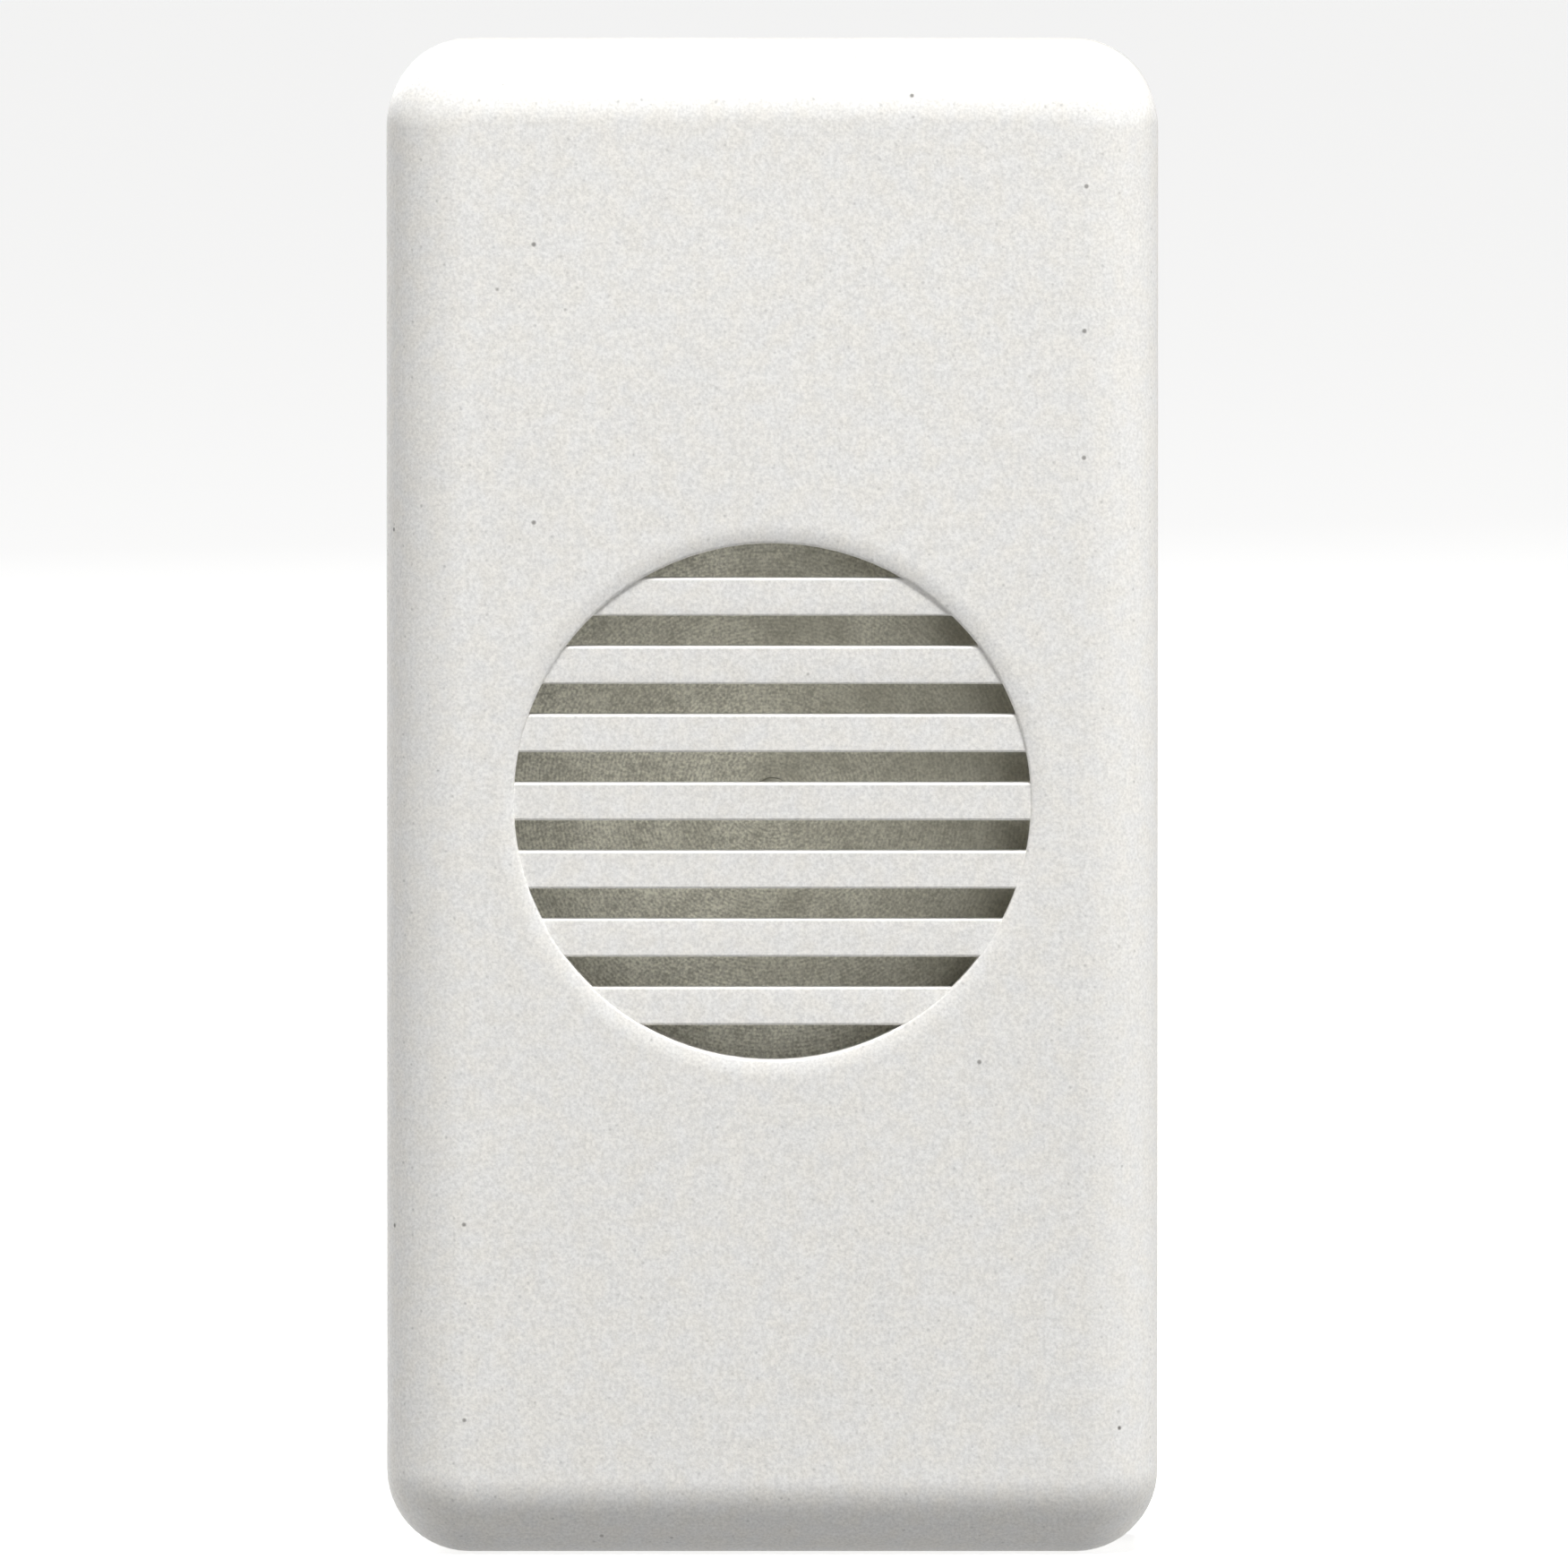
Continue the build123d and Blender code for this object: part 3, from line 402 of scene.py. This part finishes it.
postTip = {
    "place": (0.0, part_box("gong_post")[0].y, 0.0), "fadeStart": 0.00096, "fadeEnd": 0.0012,
    "colour": (0.42, 0.405, 0.34),
}
finishes = {
    "cover_plastic": mouldedPlastic(
        "ivoryCover", colour=(0.80, 0.787, 0.759), speckColour=(0.10, 0.09, 0.08),
        grainScale=11000.0, grainDepth=0.12, pitDepth=0.32, speckShare=0.12, bump=0.2,
    ),
    "housing_plastic": mouldedPlastic(
        "housingMoulding", colour=(0.62, 0.61, 0.58), speckColour=(0.2, 0.19, 0.17),
        grainScale=7000.0, grainDepth=0.05, pitDepth=0.08, speckShare=0.02, bump=0.2,
    ),
    "bobbin_plastic": mouldedPlastic(
        "blackNylon", colour=(0.018, 0.018, 0.02), speckColour=(0.06, 0.06, 0.06),
        grainScale=5000.0, grainDepth=0.3, pitDepth=0.2, speckShare=0.05, bump=0.2,
    ),
    "lead_sleeve": mouldedPlastic(
        "leadSleeve", colour=(0.10, 0.10, 0.095), speckColour=(0.3, 0.3, 0.3),
        grainScale=5000.0, grainDepth=0.15, pitDepth=0.1, speckShare=0.05, bump=0.15,
    ),
    "pad_rubber": mouldedPlastic(
        "padRubber", colour=(0.02, 0.02, 0.02), speckColour=(0.08, 0.08, 0.08),
        grainScale=4000.0, grainDepth=0.4, pitDepth=0.3, speckShare=0.1, bump=0.5,
    ),
    "zinc_steel": tarnishedMetal(
        "zincPlate", bright=(0.66, 0.66, 0.64), dull=(0.42, 0.41, 0.36),
        patchScale=500.0, amount=0.55, smooth=0.22, rough=0.42, bump=0.15,
    ),
    "soft_iron": tarnishedMetal(
        "softIron", bright=(0.40, 0.39, 0.38), dull=(0.20, 0.18, 0.16),
        patchScale=420.0, amount=0.8, smooth=0.38, rough=0.62, bump=0.3,
    ),
    "spring_steel": tarnishedMetal(
        "springSteel", bright=(0.55, 0.56, 0.58), dull=(0.30, 0.29, 0.28),
        patchScale=800.0, amount=0.5, smooth=0.18, rough=0.40, bump=0.1,
    ),
    "brass": tarnishedMetal(
        "turnedBrass", bright=(0.76, 0.60, 0.30), dull=(0.42, 0.30, 0.14),
        patchScale=600.0, amount=0.55, smooth=0.22, rough=0.45, bump=0.2, tip=postTip,
    ),
    "bronze": tarnishedMetal(
        "bellBronze", bright=(0.95, 0.935, 0.83), dull=(0.50, 0.485, 0.41),
        patchScale=300.0, amount=0.4, smooth=0.62, rough=0.78, bump=0.25,
        # painted shade: this slope makes the gong darker towards the right and the top, where
        # less light reaches it through the grille
        paintedShadeSlope=(50.0, 0.0, 15.0),
        rings={
            "Centre": (0.0, 0.0, 0.0), "Across": (1.0, 0.0, 1.0),
            "Rings_Per_Metre": 9000.0, "Ring_Share": 0.03,
        },
    ),
    "enamelled_copper": tarnishedMetal(
        "copperEnamel", bright=(0.60, 0.24, 0.09), dull=(0.30, 0.10, 0.04),
        patchScale=900.0, amount=0.6, smooth=0.2, rough=0.35, bump=0.2,
    ),
}
slotOf = {part["node"]: part["material_slot"] for part in frame["record"]["subparts"]}
for nodeName, slotName in slotOf.items():
    nodes[nodeName].data.materials[0] = finishes[slotName]
print("finishes:", len(finishes))


# Shape helpers


def camelName(nodeName):
    words = nodeName.split("_")
    return words[0] + "".join(word.capitalize() for word in words[1:])


def finishPiece(build, nodeName, name=None, slotName=None, bent=False, sharpAngle=32.0):
    # a bent piece rides on no body
    name = name or camelName(nodeName) + "Piece"
    slotName = slotName or slotOf[nodeName]
    mesh = bpy.data.meshes.new(name)
    build.to_mesh(mesh)
    build.free()
    mesh.polygons.foreach_set("use_smooth", [True] * len(mesh.polygons))
    mesh.set_sharp_from_angle(angle=math.radians(sharpAngle))
    piece = bpy.data.objects.new(name, mesh)
    bpy.context.scene.collection.objects.link(piece)
    mesh.materials.append(finishes[slotName])
    shading = piece.modifiers.new("flatFacesStayFlat", "WEIGHTED_NORMAL")
    shading.keep_sharp = True
    if not bent:
        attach(piece, nodes[nodeName]["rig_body"])
    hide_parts(nodeName)
    return piece


def mergedCopy(nodeName, mergeDistance=2e-7, flatAngle=0.5):
    # the node's shape with its doubled points merged and its flat faces whole
    build = bmesh.new()
    build.from_mesh(nodes[nodeName].data)
    bmesh.ops.remove_doubles(build, verts=build.verts, dist=mergeDistance)
    bmesh.ops.dissolve_limit(
        build, angle_limit=math.radians(flatAngle),
        verts=build.verts, edges=build.edges, delimit={"NORMAL"},
    )
    return build


def sharpEdges(build, angle=30.0):
    limit = math.radians(angle)
    whole = [edge for edge in build.edges if edge.is_manifold]
    return [edge for edge in whole if abs(edge.calc_face_angle()) > limit]


def breakEdges(build, edges, width, steps=2):
    bmesh.ops.bevel(
        build, geom=edges, offset=width, offset_type="OFFSET", segments=steps,
        profile=0.6, affect="EDGES", clamp_overlap=False,
    )


def arc(centre, radius, start, end, steps):
    # points of an arc in a plane, angles in degrees
    points = []
    for step in range(steps + 1):
        angle = math.radians(start + (end - start) * step / steps)
        across, up = radius * math.cos(angle), radius * math.sin(angle)
        points.append((centre[0] + across, centre[1] + up))
    return points


def joinRings(build, first, second):
    for index, vert in enumerate(first):
        after = (index + 1) % len(first)
        build.faces.new((vert, first[after], second[after], second[index]))


def spun(build, outline, roundSteps):
    # a closed outline of (radius, y) points turned about the Y axis
    rings = []
    for radius, level in outline:
        ring = []
        for step in range(roundSteps):
            angle = 2 * math.pi * step / roundSteps
            place = (radius * math.cos(angle), level, radius * math.sin(angle))
            ring.append(build.verts.new(place))
        rings.append(ring)
    for index, ring in enumerate(rings):
        joinRings(build, ring, rings[(index + 1) % len(rings)])
    bmesh.ops.recalc_face_normals(build, faces=build.faces)


def wire(build, points, radius, sides, taper=None):
    # a round wire along the points, its section carried on without twisting
    rings = []
    side = None
    for index, point in enumerate(points):
        before, after = points[max(index - 1, 0)], points[min(index + 1, len(points) - 1)]
        along = (after - before).normalized()
        side = along.orthogonal() if side is None else side - along * side.dot(along)
        side.normalize()
        across = along.cross(side)
        size = radius * (taper[index] if taper else 1.0)
        ring = []
        for step in range(sides):
            angle = 2 * math.pi * step / sides
            out = side * math.cos(angle) + across * math.sin(angle)
            ring.append(build.verts.new(point + out * size))
        rings.append(ring)
    for first, second in zip(rings, rings[1:]):
        joinRings(build, first, second)
    build.faces.new(rings[0][::-1])
    build.faces.new(rings[-1])
    bmesh.ops.recalc_face_normals(build, faces=build.faces)


def smoothPath(corners, steps, order=3):
    # a smooth line through the space between the corner points
    curve = bpy.data.curves.new("route", "CURVE")
    curve.dimensions = "3D"
    spline = curve.splines.new("NURBS")
    spline.points.add(len(corners) - 1)
    for point, corner in zip(spline.points, corners):
        point.co = (*corner, 1.0)
    spline.order_u = order
    spline.use_endpoint_u = True
    spline.resolution_u = steps
    holder = bpy.data.objects.new("route", curve)
    mesh = bpy.data.meshes.new_from_object(holder)
    line = [vert.co.copy() for vert in mesh.vertices]
    bpy.data.objects.remove(holder)
    bpy.data.curves.remove(curve)
    bpy.data.meshes.remove(mesh)
    return line


# Front cover: the rim of the grille rolls in on an arc, the rest has its edges broken

coverShape = {
    "grilleRadius": 0.0075, "recess": 0.00016, "edge": 0.00003,
    "rimWidth": 0.0006, "rimSlope": 17.0, "rimStep": 0.00003, "rimSteps": 9,
    "margin": 0.00001, "flatNormal": 0.999,  # for picking the rim's faces by place and slope
    "keepWidth": 0.0001, "keepDepth": 0.0006,  # edges as near as this to the rim stay as they are
}


def fromAxis(place):
    return math.hypot(place.x, place.z)


def onRimFace(face, front):
    inner = coverShape["grilleRadius"] + coverShape["margin"]
    outer = coverShape["grilleRadius"] + coverShape["rimWidth"] - coverShape["margin"]
    low = front - coverShape["margin"]
    high = front + coverShape["recess"] + coverShape["margin"]
    middle = face.calc_center_median()
    inPlace = inner < fromAxis(middle) < outer and low < middle.y < high
    return inPlace and abs(face.normal.y) < coverShape["flatNormal"]


def rollRim(build, front):
    # the cone between the face and the grille becomes an arc with a small step at its foot
    outer = coverShape["grilleRadius"] + coverShape["rimWidth"]
    old = [face for face in build.faces if onRimFace(face, front)]
    rimEdges = {edge for face in old for edge in face.edges}
    bmesh.ops.delete(build, geom=old, context="FACES")
    edges = [edge for edge in rimEdges if edge.is_valid and edge.is_boundary]
    limit = outer - coverShape["margin"]
    outerEdges = [edge for edge in edges if fromAxis(edge.verts[0].co) > limit]
    innerEdges = [edge for edge in edges if edge not in outerEdges]
    corners = {vert for edge in outerEdges for vert in edge.verts}
    rim = sorted(corners, key=lambda vert: math.atan2(vert.co.z, vert.co.x))
    sweep = math.radians(coverShape["rimSlope"])
    roll = (coverShape["rimWidth"] - coverShape["rimStep"]) / math.sin(sweep)
    last = rim
    for step in range(1, coverShape["rimSteps"] + 1):
        angle = sweep * step / coverShape["rimSteps"]
        radius = outer - roll * math.sin(angle)
        level = front + roll * (1 - math.cos(angle))
        ring = []
        for vert in rim:
            share = radius / fromAxis(vert.co)
            ring.append(build.verts.new((vert.co.x * share, level, vert.co.z * share)))
        joinRings(build, last, ring)
        last = ring
    lastEdges = []
    for index, vert in enumerate(last):
        lastEdges.append(build.edges.get((vert, last[(index + 1) % len(last)])))
    bmesh.ops.bridge_loops(build, edges=lastEdges + innerEdges)
    bmesh.ops.recalc_face_normals(build, faces=build.faces)


def makeFrontCover():
    build = mergedCopy("front_cover")
    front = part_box("front_cover")[0].y
    rollRim(build, front)
    inner = coverShape["grilleRadius"] - 2 * coverShape["margin"]
    outer = coverShape["grilleRadius"] + coverShape["rimWidth"] + coverShape["keepWidth"]
    depth = front + coverShape["keepDepth"]
    edges = []
    for edge in sharpEdges(build):
        places = [vert.co for vert in edge.verts]
        if not all(inner < fromAxis(place) < outer and place.y < depth for place in places):
            edges.append(edge)
    breakEdges(build, edges, coverShape["edge"])
    finishPiece(build, "front_cover")


makeFrontCover()
print("front cover: rim rolled, slat edges broken")


# Gong: a spun cup with a soft bend, a rounded rim and a small centre hole

gongShape = {
    "hole": 0.00055, "thickness": 0.0008, "bend": 0.0011, "innerBend": 0.0005,
    "rimRound": 0.0002, "bendSteps": 8, "innerBendSteps": 6, "rimSteps": 4, "roundSteps": 128,
}


def makeGong():
    low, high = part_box("gong")
    radius, front, rim = high.x, low.y, high.y
    back = front + gongShape["thickness"]
    inside = radius - gongShape["thickness"]
    hole, bend, innerBend = (gongShape[key] for key in ("hole", "bend", "innerBend"))
    soft, softSteps = gongShape["rimRound"], gongShape["rimSteps"]
    innerPlace, innerSteps = (inside - innerBend, back + innerBend), gongShape["innerBendSteps"]
    outline = [(hole, front), (radius / 2, front)]
    outline += arc((radius - bend, front + bend), bend, -90.0, 0.0, gongShape["bendSteps"])
    outline += arc((radius - soft, rim - soft), soft, 0.0, 90.0, softSteps)
    outline += arc((inside + soft, rim - soft), soft, 90.0, 180.0, softSteps)
    outline += arc(innerPlace, innerBend, 0.0, -90.0, innerSteps)
    outline += [(radius / 2, back), (hole, back)]
    build = bmesh.new()
    spun(build, outline, gongShape["roundSteps"])
    finishPiece(build, "gong")


makeGong()
print("gong: spun cup")


# Return spring: round wire, hooked into the lug and the armature's tail

springShape = {
    "wireRadius": 0.00022, "coilRadius": 0.00105, "pitch": 0.0019, "turns": 3, "lead": 0.0015,
    "leadInTurn": 0.8, "lowerDrop": 0.0002, "hook": 0.0006, "hookGap": 0.0003,
    "stepsPerTurn": 28, "hookSteps": 12, "sides": 12, "lugThickness": 0.0015,
    "flatWire": 0.00003,  # the frame's wire has flats, so its coils reach this much less
}


def springAxis():
    reach = springShape["coilRadius"] + springShape["wireRadius"] - springShape["flatWire"]
    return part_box("return_spring")[1].y - reach


def endTurn(axisY, share, angle, level):
    # a point of the half turn in which the coil opens from its axis to its full radius
    size = springShape["coilRadius"] * share * share * (3 - 2 * share)
    return Vector((size * math.cos(angle), axisY + size * math.sin(angle), level))


def springLine():
    low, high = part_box("return_spring")
    axisY = springAxis()
    hook, gap, hookSteps = (springShape[key] for key in ("hook", "hookGap", "hookSteps"))
    pitch, turns, steps = (springShape[key] for key in ("pitch", "turns", "stepsPerTurn"))
    lead, half = springShape["lead"], steps // 2
    rise = springShape["leadInTurn"] * lead
    lugTop = high.z - springShape["wireRadius"] - hook - gap
    tailBottom = low.z + springShape["wireRadius"] + hook + gap
    base = lugTop - springShape["lugThickness"] - lead - turns * pitch
    top = base + turns * pitch
    points = [Vector((0, axisY - 2 * hook, tailBottom))]
    for y, z in arc((axisY - hook, tailBottom - gap), hook, 180.0, 360.0, hookSteps):
        points.append(Vector((0, y, z)))
    points.append(Vector((0, axisY, (tailBottom + base) / 2 - springShape["lowerDrop"])))
    for index in range(half + 1):
        share = index / half
        points.append(endTurn(axisY, share, math.pi * (share - 1), base - rise * (1 - share)))
    for index in range(1, steps * turns + 1):
        angle = 2 * math.pi * index / steps
        points.append(endTurn(axisY, 1.0, angle, base + pitch * index / steps))
    for index in range(1, half + 1):
        share = 1 - index / half
        points.append(endTurn(axisY, share, math.pi * (1 - share), top + rise * (1 - share)))
    for y, z in arc((axisY - hook, lugTop + gap), hook, 0.0, 180.0, hookSteps):
        points.append(Vector((0, y, z)))
    points.append(Vector((0, axisY - 2 * hook, lugTop)))
    return points


def makeReturnSpring():
    build = bmesh.new()
    wire(build, springLine(), springShape["wireRadius"], springShape["sides"])
    spring = finishPiece(build, "return_spring", bent=True, sharpAngle=60.0)
    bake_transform(spring)


makeReturnSpring()
print("return spring: coiled")


# Coil: the winding's outer layer of turns, and its two sleeved leads

windingShape = {"wire": 0.0003, "roundSteps": 72, "rowsPerTurn": 6, "mergeDistance": 1e-8}


def makeWinding():
    low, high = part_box("coil_winding")
    middleY = (low.y + high.y) / 2
    pitch, steps, rows = (windingShape[key] for key in ("wire", "roundSteps", "rowsPerTurn"))
    turns = math.ceil((high.z - low.z) / pitch) + 1
    build = bmesh.new()
    grid = []
    for row in range(-rows, turns * rows + 1):
        share = row % rows / rows
        radius = high.x - pitch / 2 * (1 - math.sin(math.pi * share) ** 0.5)
        ring = []
        for step in range(steps):
            angle = 2 * math.pi * step / steps
            level = low.z + (row / rows + step / steps) * pitch
            level = min(max(level, low.z), high.z)
            x, y = radius * math.cos(angle), middleY + radius * math.sin(angle)
            ring.append(build.verts.new((x, y, level)))
        grid.append(ring)
    for index in range(len(grid) - rows - 1):
        lower, upper = grid[index], grid[index + 1]
        nextLower, nextUpper = grid[index + rows], grid[index + rows + 1]
        for step in range(steps - 1):
            build.faces.new((lower[step], lower[step + 1], upper[step + 1], upper[step]))
        build.faces.new((lower[-1], nextLower[0], nextUpper[0], upper[-1]))
    near = windingShape["mergeDistance"]  # the first and last rows lie flat on the flanges
    bmesh.ops.remove_doubles(build, verts=build.verts, dist=near)
    bmesh.ops.dissolve_degenerate(build, edges=build.edges, dist=near)
    finishPiece(build, "coil_winding", sharpAngle=70.0)


leadShape = {
    "sleeve": 0.00045, "sides": 14, "endShare": 0.86, "pathSteps": 12,
    "onWinding": 0.0045, "bendBack": 0.0008, "bendRise": 0.0012, "slopeBack": 0.0018,
    "rise": 0.0024, "bow": 0.0005, "droop": 0.0002, "tagInset": 0.002,
}
solderShape = {
    "bare": 0.0007, "wire": 0.00016, "wireSides": 8, "wireEnd": 0.0001,
    "radius": 0.00085, "height": 0.0005, "sides": 24, "arcEnd": 80.0, "arcSteps": 5,
}


def sideName(side):
    return "right" if side > 0 else "left"


def leadLine(side):
    winding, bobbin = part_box("coil_winding"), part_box("coil_bobbin")
    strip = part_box("contact_strip_" + sideName(side))
    middleY = (winding[0].y + winding[1].y) / 2
    x = side * (winding[1].x + leadShape["sleeve"])
    tagX, tagZ = (strip[0].x + strip[1].x) / 2, strip[1].z
    tagY = strip[0].y + leadShape["tagInset"]
    crest = tagZ + leadShape["rise"]
    top = bobbin[1].z
    return [
        Vector((x, middleY, top - leadShape["onWinding"])),
        Vector((x, middleY, top)),
        Vector((x, middleY + leadShape["bendBack"], top + leadShape["bendRise"])),
        Vector((x, middleY + leadShape["slopeBack"], (top + crest) / 2)),
        Vector(((x + tagX) / 2, (middleY + tagY) / 2 + leadShape["bow"], crest)),
        Vector((tagX, tagY, crest - leadShape["droop"])),
        Vector((tagX, tagY, tagZ)),
    ]


def makeSolder(nodeName, tag, inSleeve):
    # the bare end of the wire in a drop of solder on the tag
    build = bmesh.new()
    wireEnd = tag + Vector((0, 0, solderShape["wireEnd"]))
    wire(build, [inSleeve, wireEnd], solderShape["wire"], solderShape["wireSides"])
    dome = []
    for across, up in arc((0.0, 0.0), 1.0, 0.0, solderShape["arcEnd"], solderShape["arcSteps"]):
        ring = []
        for step in range(solderShape["sides"]):
            angle = 2 * math.pi * step / solderShape["sides"]
            size = solderShape["radius"] * across
            place = (size * math.cos(angle), size * math.sin(angle), solderShape["height"] * up)
            ring.append(build.verts.new(tag + Vector(place)))
        dome.append(ring)
    for first, second in zip(dome, dome[1:]):
        joinRings(build, first, second)
    build.faces.new(dome[-1])
    build.faces.new(dome[0][::-1])
    finishPiece(build, nodeName, name=camelName(nodeName) + "Solder", slotName="zinc_steel")


def makeLead(side):
    nodeName = "coil_lead_" + sideName(side)
    line = smoothPath(leadLine(side), leadShape["pathSteps"])
    tag = line[-1]
    while (line[-1] - tag).length < solderShape["bare"]:
        line.pop()
    taper = [1.0] * len(line)
    taper[0] = taper[-1] = leadShape["endShare"]
    build = bmesh.new()
    wire(build, line, leadShape["sleeve"], leadShape["sides"], taper)
    finishPiece(build, nodeName)
    makeSolder(nodeName, tag, line[-2])


makeWinding()
for side in (-1, 1):
    makeLead(side)
print("coil: winding and leads")


# Rest pad: a rubber pad with soft edges

padShape = {"edge": 0.00018, "edgeSteps": 4}


def makeRestPad():
    build = mergedCopy("arm_rest_pad")
    breakEdges(build, sharpEdges(build), padShape["edge"], padShape["edgeSteps"])
    finishPiece(build, "arm_rest_pad", sharpAngle=60.0)


makeRestPad()
print("rest pad: edges softened")


# Everything else keeps its shape, with its hard edges broken by this much

edgeBreaks = {
    "housing": 0.00012, "rear_cover": 0.00010, "rear_cover_screws": 0.00008,
    "frame_latch_upper": 0.00012, "frame_latch_lower": 0.00012,
    "gong_post": 0.00006, "yoke": 0.00012, "yoke_screw": 0.00006, "core": 0.00008,
    "coil_bobbin": 0.00012, "armature": 0.00010, "hammer_arm": 0.00006,
    "arm_rivets": 0.00012, "hammer_head": 0.00018,
}
for handed in ("left", "right"):
    edgeBreaks["terminal_cage_" + handed] = 0.00010
    edgeBreaks["pressure_plate_" + handed] = 0.00006
    edgeBreaks["terminal_screw_" + handed] = 0.00009
    edgeBreaks["contact_strip_" + handed] = 0.00006
for nodeName, width in edgeBreaks.items():
    build = mergedCopy(nodeName)
    breakEdges(build, sharpEdges(build), width)
    finishPiece(build, nodeName)
print("edges broken:", len(edgeBreaks))


# Stage

floorLook = {
    "reach": 3.0, "drop": 0.00002, "colour": (0.88, 0.88, 0.87), "darkShare": 0.985,
    "cloudScale": 14.0, "glow": 0.6,
}


def makeFloor():
    mesh = bpy.data.meshes.new("floor")
    reach = floorLook["reach"]
    level = cadBox[0].z - floorLook["drop"]
    build = bmesh.new()
    corners = []
    for x, y in ((-1, -1), (1, -1), (1, 1), (-1, 1)):
        corners.append(build.verts.new((x * reach, y * reach, level)))
    build.faces.new(corners)
    build.to_mesh(mesh)
    build.free()
    floor = bpy.data.objects.new("floor", mesh)
    bpy.context.scene.collection.objects.link(floor)
    material, tree, shader = newMaterial("paleFloor")
    place = addNode(tree, "ShaderNodeTexCoord").outputs["Object"]
    soft = noiseNode(tree, place, floorLook["cloudScale"], detail=3.0)
    darker = tuple(part * floorLook["darkShare"] for part in floorLook["colour"])
    tint = mixColour(tree, soft, floorLook["colour"], darker)
    tree.links.new(tint, shader.inputs["Base Color"])
    shader.inputs["Roughness"].default_value = 0.9
    shader.inputs["Specular IOR Level"].default_value = 0.1
    shader.inputs["Emission Color"].default_value = (1.0, 1.0, 1.0, 1.0)
    shader.inputs["Emission Strength"].default_value = floorLook["glow"]
    mesh.materials.append(material)
    floor.visible_diffuse = False


# the sky lights the part by a slope and by a glow at each side, and the camera sees plain white
skyLook = {
    "level": 0.26, "slope": (0.06, 0.206, -0.197), "sideGlow": 1.38, "sideStart": 0.8,
    "colour": (1.0, 1.0, 1.0, 1.0),
}


def makeSky():
    world = bpy.data.worlds.new("studio")
    bpy.context.scene.world = world
    world.use_nodes = True
    tree = world.node_tree
    tree.nodes.clear()
    out = addNode(tree, "ShaderNodeOutputWorld")
    way = addNode(tree, "ShaderNodeTexCoord").outputs["Generated"]
    slope = addNode(tree, "ShaderNodeVectorMath", operation="DOT_PRODUCT")
    tree.links.new(way, slope.inputs[0])
    slope.inputs[1].default_value = skyLook["slope"]
    axes = addNode(tree, "ShaderNodeSeparateXYZ")
    tree.links.new(way, axes.inputs[0])
    beside = mathNode(tree, "ABSOLUTE", axes.outputs["X"])
    sides = mapRange(tree, beside, skyLook["sideStart"], 1.0, 0.0, skyLook["sideGlow"])
    level = mathNode(tree, "ADD", slope.outputs["Value"], sides)
    level = mathNode(tree, "ADD", mathNode(tree, "MAXIMUM", level, 0.0), skyLook["level"])
    light = addNode(tree, "ShaderNodeBackground")
    light.inputs["Color"].default_value = skyLook["colour"]
    tree.links.new(level, light.inputs["Strength"])
    ground = addNode(tree, "ShaderNodeBackground")
    ground.inputs["Color"].default_value = skyLook["colour"]
    ground.inputs["Strength"].default_value = 1.0
    seen = addNode(tree, "ShaderNodeLightPath").outputs["Is Camera Ray"]
    both = addNode(tree, "ShaderNodeMixShader")
    tree.links.new(seen, both.inputs["Fac"])
    tree.links.new(light.outputs["Background"], both.inputs[1])
    tree.links.new(ground.outputs["Background"], both.inputs[2])
    tree.links.new(both.outputs["Shader"], out.inputs["Surface"])


softboxes = {
    "key": {"place": (0.063, -0.189, 0.40), "size": 0.16, "power": 2.6},
    "front": {"place": (0.12, -0.5, 0.06), "size": 0.1, "power": 0.24},
    "back": {"place": (-0.25, 0.45, 0.25), "size": 0.3, "power": 1.8},
}


def makeSoftbox(name, place, size, power):
    # a square lamp that faces the origin
    data = bpy.data.lights.new(name + "Softbox", "AREA")
    data.shape = "SQUARE"
    data.size = size
    data.energy = power
    light = bpy.data.objects.new(name + "Softbox", data)
    light.location = place
    light.rotation_mode = "QUATERNION"
    light.rotation_quaternion = (-Vector(place)).to_track_quat("-Z", "Y")
    bpy.context.scene.collection.objects.link(light)


cameraView = {
    "lens": 1000.0, "sensor": 36.0, "clipStart": 0.01, "rise": 2.6,
    "photoPixels": 1751, "metresPerPixel": 0.00002601, "facePlane": -0.0072,
    "aim": (0.00034, 0.00042),
}


def makeCamera():
    data = bpy.data.cameras.new("photoCamera")
    data.sensor_width = cameraView["sensor"]
    data.lens = cameraView["lens"]
    data.clip_start = cameraView["clipStart"]
    across = cameraView["photoPixels"] * cameraView["metresPerPixel"]
    reach = across * data.lens / data.sensor_width
    rise = math.radians(cameraView["rise"])
    aimX, aimZ = cameraView["aim"]
    back, up = reach * math.cos(rise), reach * math.sin(rise)
    camera = bpy.data.objects.new("photoCamera", data)
    camera.location = (aimX, cameraView["facePlane"] - back, aimZ + up)
    camera.rotation_euler = (math.pi / 2 - rise, 0.0, 0.0)
    bpy.context.scene.collection.objects.link(camera)
    bpy.context.scene.camera = camera


makeFloor()
makeSky()
for name, softbox in softboxes.items():
    makeSoftbox(name, **softbox)
makeCamera()
bpy.context.scene.view_settings.view_transform = "Standard"
print("stage: floor, sky, three softboxes and camera")
